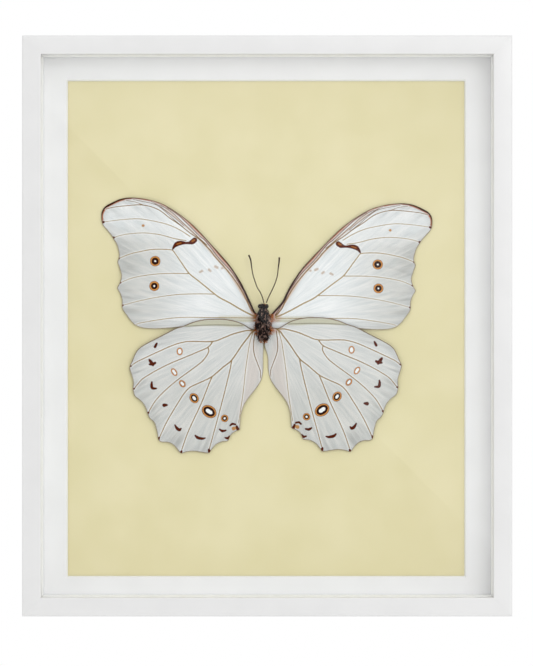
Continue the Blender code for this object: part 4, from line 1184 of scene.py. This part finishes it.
def eyes():
    """Two glossy round eyes at the sides of the head."""
    out, forward, up = EYE_PLACE
    for side, sign in (("left", -1), ("right", 1)):
        place = (BODY_X + sign * out * MM, BODY_Y - forward * MM, SPECIMEN_Z + up * MM)
        bpy.ops.object.select_all(action="DESELECT")
        bpy.ops.mesh.primitive_uv_sphere_add(segments=32, ring_count=18, radius=1.0, location=place)
        piece = named_active("eye_" + side)
        piece.scale = [half * MM for half in EYE_SIZE]
        tidy_piece(piece)
        settle(piece, [], EYE)


def antenna(name, points, sign):
    """A ringed feeler that swells towards its tip."""
    line = smooth_line(points, 0.18)
    bpy.ops.object.select_all(action="DESELECT")
    bpy.ops.curve.primitive_nurbs_path_add()
    piece = named_active(name)
    curve = piece.data
    curve.splines.clear()
    curve.bevel_depth = FEELER_RADIUS * MM
    curve.bevel_resolution = 3
    curve.use_fill_caps = True
    spline = curve.splines.new("POLY")
    spline.points.add(len(line) - 1)
    for index, (u, v) in enumerate(line):
        along = index / (len(line) - 1)
        forward = FEELER_BOW * math.sin(math.pi * along)
        spline.points[index].co = (SPECIMEN_X + sign * u * MM, BODY_Y - forward * MM, SPECIMEN_Z + v * MM, 1)
        ring = 0.9 if index % 2 else 1.05
        spline.points[index].radius = ring * (1 + 0.7 * max(0.0, (along - 0.7) / 0.3))
    only(piece)
    bpy.ops.object.convert(target="MESH")
    piece = bpy.context.active_object
    give_tones(piece.data, np.full(len(piece.data.vertices), FEELER_TONE))
    tidy_piece(piece, angle=60)
    settle(piece, [name], FUR)


def butterfly():
    """Wings, body, hair, eyes and feelers."""
    wing("forewing_left", FOREWING, -1, AS_DRAWN)
    outline = RIGHT_ROOT + FOREWING_OUTLINE[len(RIGHT_ROOT):]
    costa = [RIGHT_COSTA_ROOT + COSTA_LINE[len(RIGHT_COSTA_ROOT):]]
    wing("forewing_right", {**FOREWING, "outline": outline, "costa": costa}, 1, RIGHT_FOREWING)
    wing("hindwing_left", HINDWING, -1, AS_DRAWN)
    outline = HINDWING_OUTLINE[:-len(RIGHT_INNER_MARGIN)] + RIGHT_INNER_MARGIN
    wing("hindwing_right", {**HINDWING, "outline": outline}, 1, RIGHT_HINDWING)
    for name, stations in (("thorax", THORAX), ("head", HEAD), ("abdomen", ABDOMEN)):
        body_form(name, stations)
    hair_coat("thorax_hair", THORAX, 1.05, 11, thorax_tone, WING_TUFTS)
    hair_coat("head_hair", HEAD, 0.45, 12, head_tone)
    hair_coat("abdomen_hair", ABDOMEN, 0.7, 13, tail_tone)
    eyes()
    antenna("antenna_left", ANTENNA_LEFT, -1)
    antenna("antenna_right", ANTENNA_RIGHT, 1)


# The set

def area_light(name, place, size, power, mirrored):
    """A soft light that faces the middle of the frame: only a mirrored one shows in glossy faces."""
    lamp = bpy.data.lights.new(name, "AREA")
    lamp.shape = "DISK"
    lamp.size = size
    lamp.energy = power
    holder = placed(name, lamp)
    holder.location = place
    aim = Vector((0, 0, CENTRE_Z)) - holder.location
    holder.rotation_euler = aim.to_track_quat("-Z", "Y").to_euler()
    holder.visible_camera = False
    holder.visible_glossy = mirrored


def white_room():
    """An even white room that lights the object a little less brightly than it looks behind it."""
    world = bpy.data.worlds.new("white_room")
    world.use_nodes = True
    tree = world.node_tree
    seen = add_node(tree, "ShaderNodeLightPath").outputs["Is Camera Ray"]
    background = tree.nodes["Background"].inputs
    tree.links.new(ranged(tree, seen, start=ROOM_LIGHT), background["Strength"])
    background["Color"].default_value = linear("#FFFFFF")
    bpy.context.scene.world = world


def stage_plane(name, size, place, turn, material):
    """A flat card that isn't part of the object."""
    bpy.ops.object.select_all(action="DESELECT")
    bpy.ops.mesh.primitive_plane_add(size=size, location=place, rotation=turn)
    card = named_active(name)
    card.data.materials.append(material)


def floor_and_light():
    """A pale floor well below the frame, soft lights mostly from the upper right, and a dark card."""
    floor = plain_surface("pale_floor", "#F6F6F5", "#F8F8F7", 2, 60, 0.1 * MM, Roughness=0.9)
    stage_plane("floor", 11.0, (0, 0, FRAME_LOW.z - HANGING_HEIGHT), (0, 0, 0), floor)
    # The card hangs behind the camera and keeps the room's reflection off the middle of the glass
    felt = plain_surface("grey_felt", "#3A3A3A", "#444444", 20, 400, 0.5 * MM, Roughness=1.0)
    stage_plane("camera_card", 0.75, (-0.1, -1.62, CENTRE_Z), (math.radians(90), 0, 0), felt)
    white_room()
    for light in LIGHTS:
        area_light(*light)


def photo_camera():
    """Level and straight on, far enough back for the depth that the inner walls show."""
    data = bpy.data.cameras.new("camera")
    data.lens = LENS
    data.sensor_width = SENSOR
    data.shift_x, data.shift_y = PICTURE_SHIFT
    data.clip_start = NEAREST_SEEN
    camera = placed("camera", data)
    camera.location = (0, -CAMERA_AWAY, CENTRE_Z)
    camera.rotation_euler = (math.radians(90), 0, 0)
    bpy.context.scene.camera = camera


bpy.context.scene.view_settings.view_transform = "Standard"
case()
butterfly()
floor_and_light()
photo_camera()
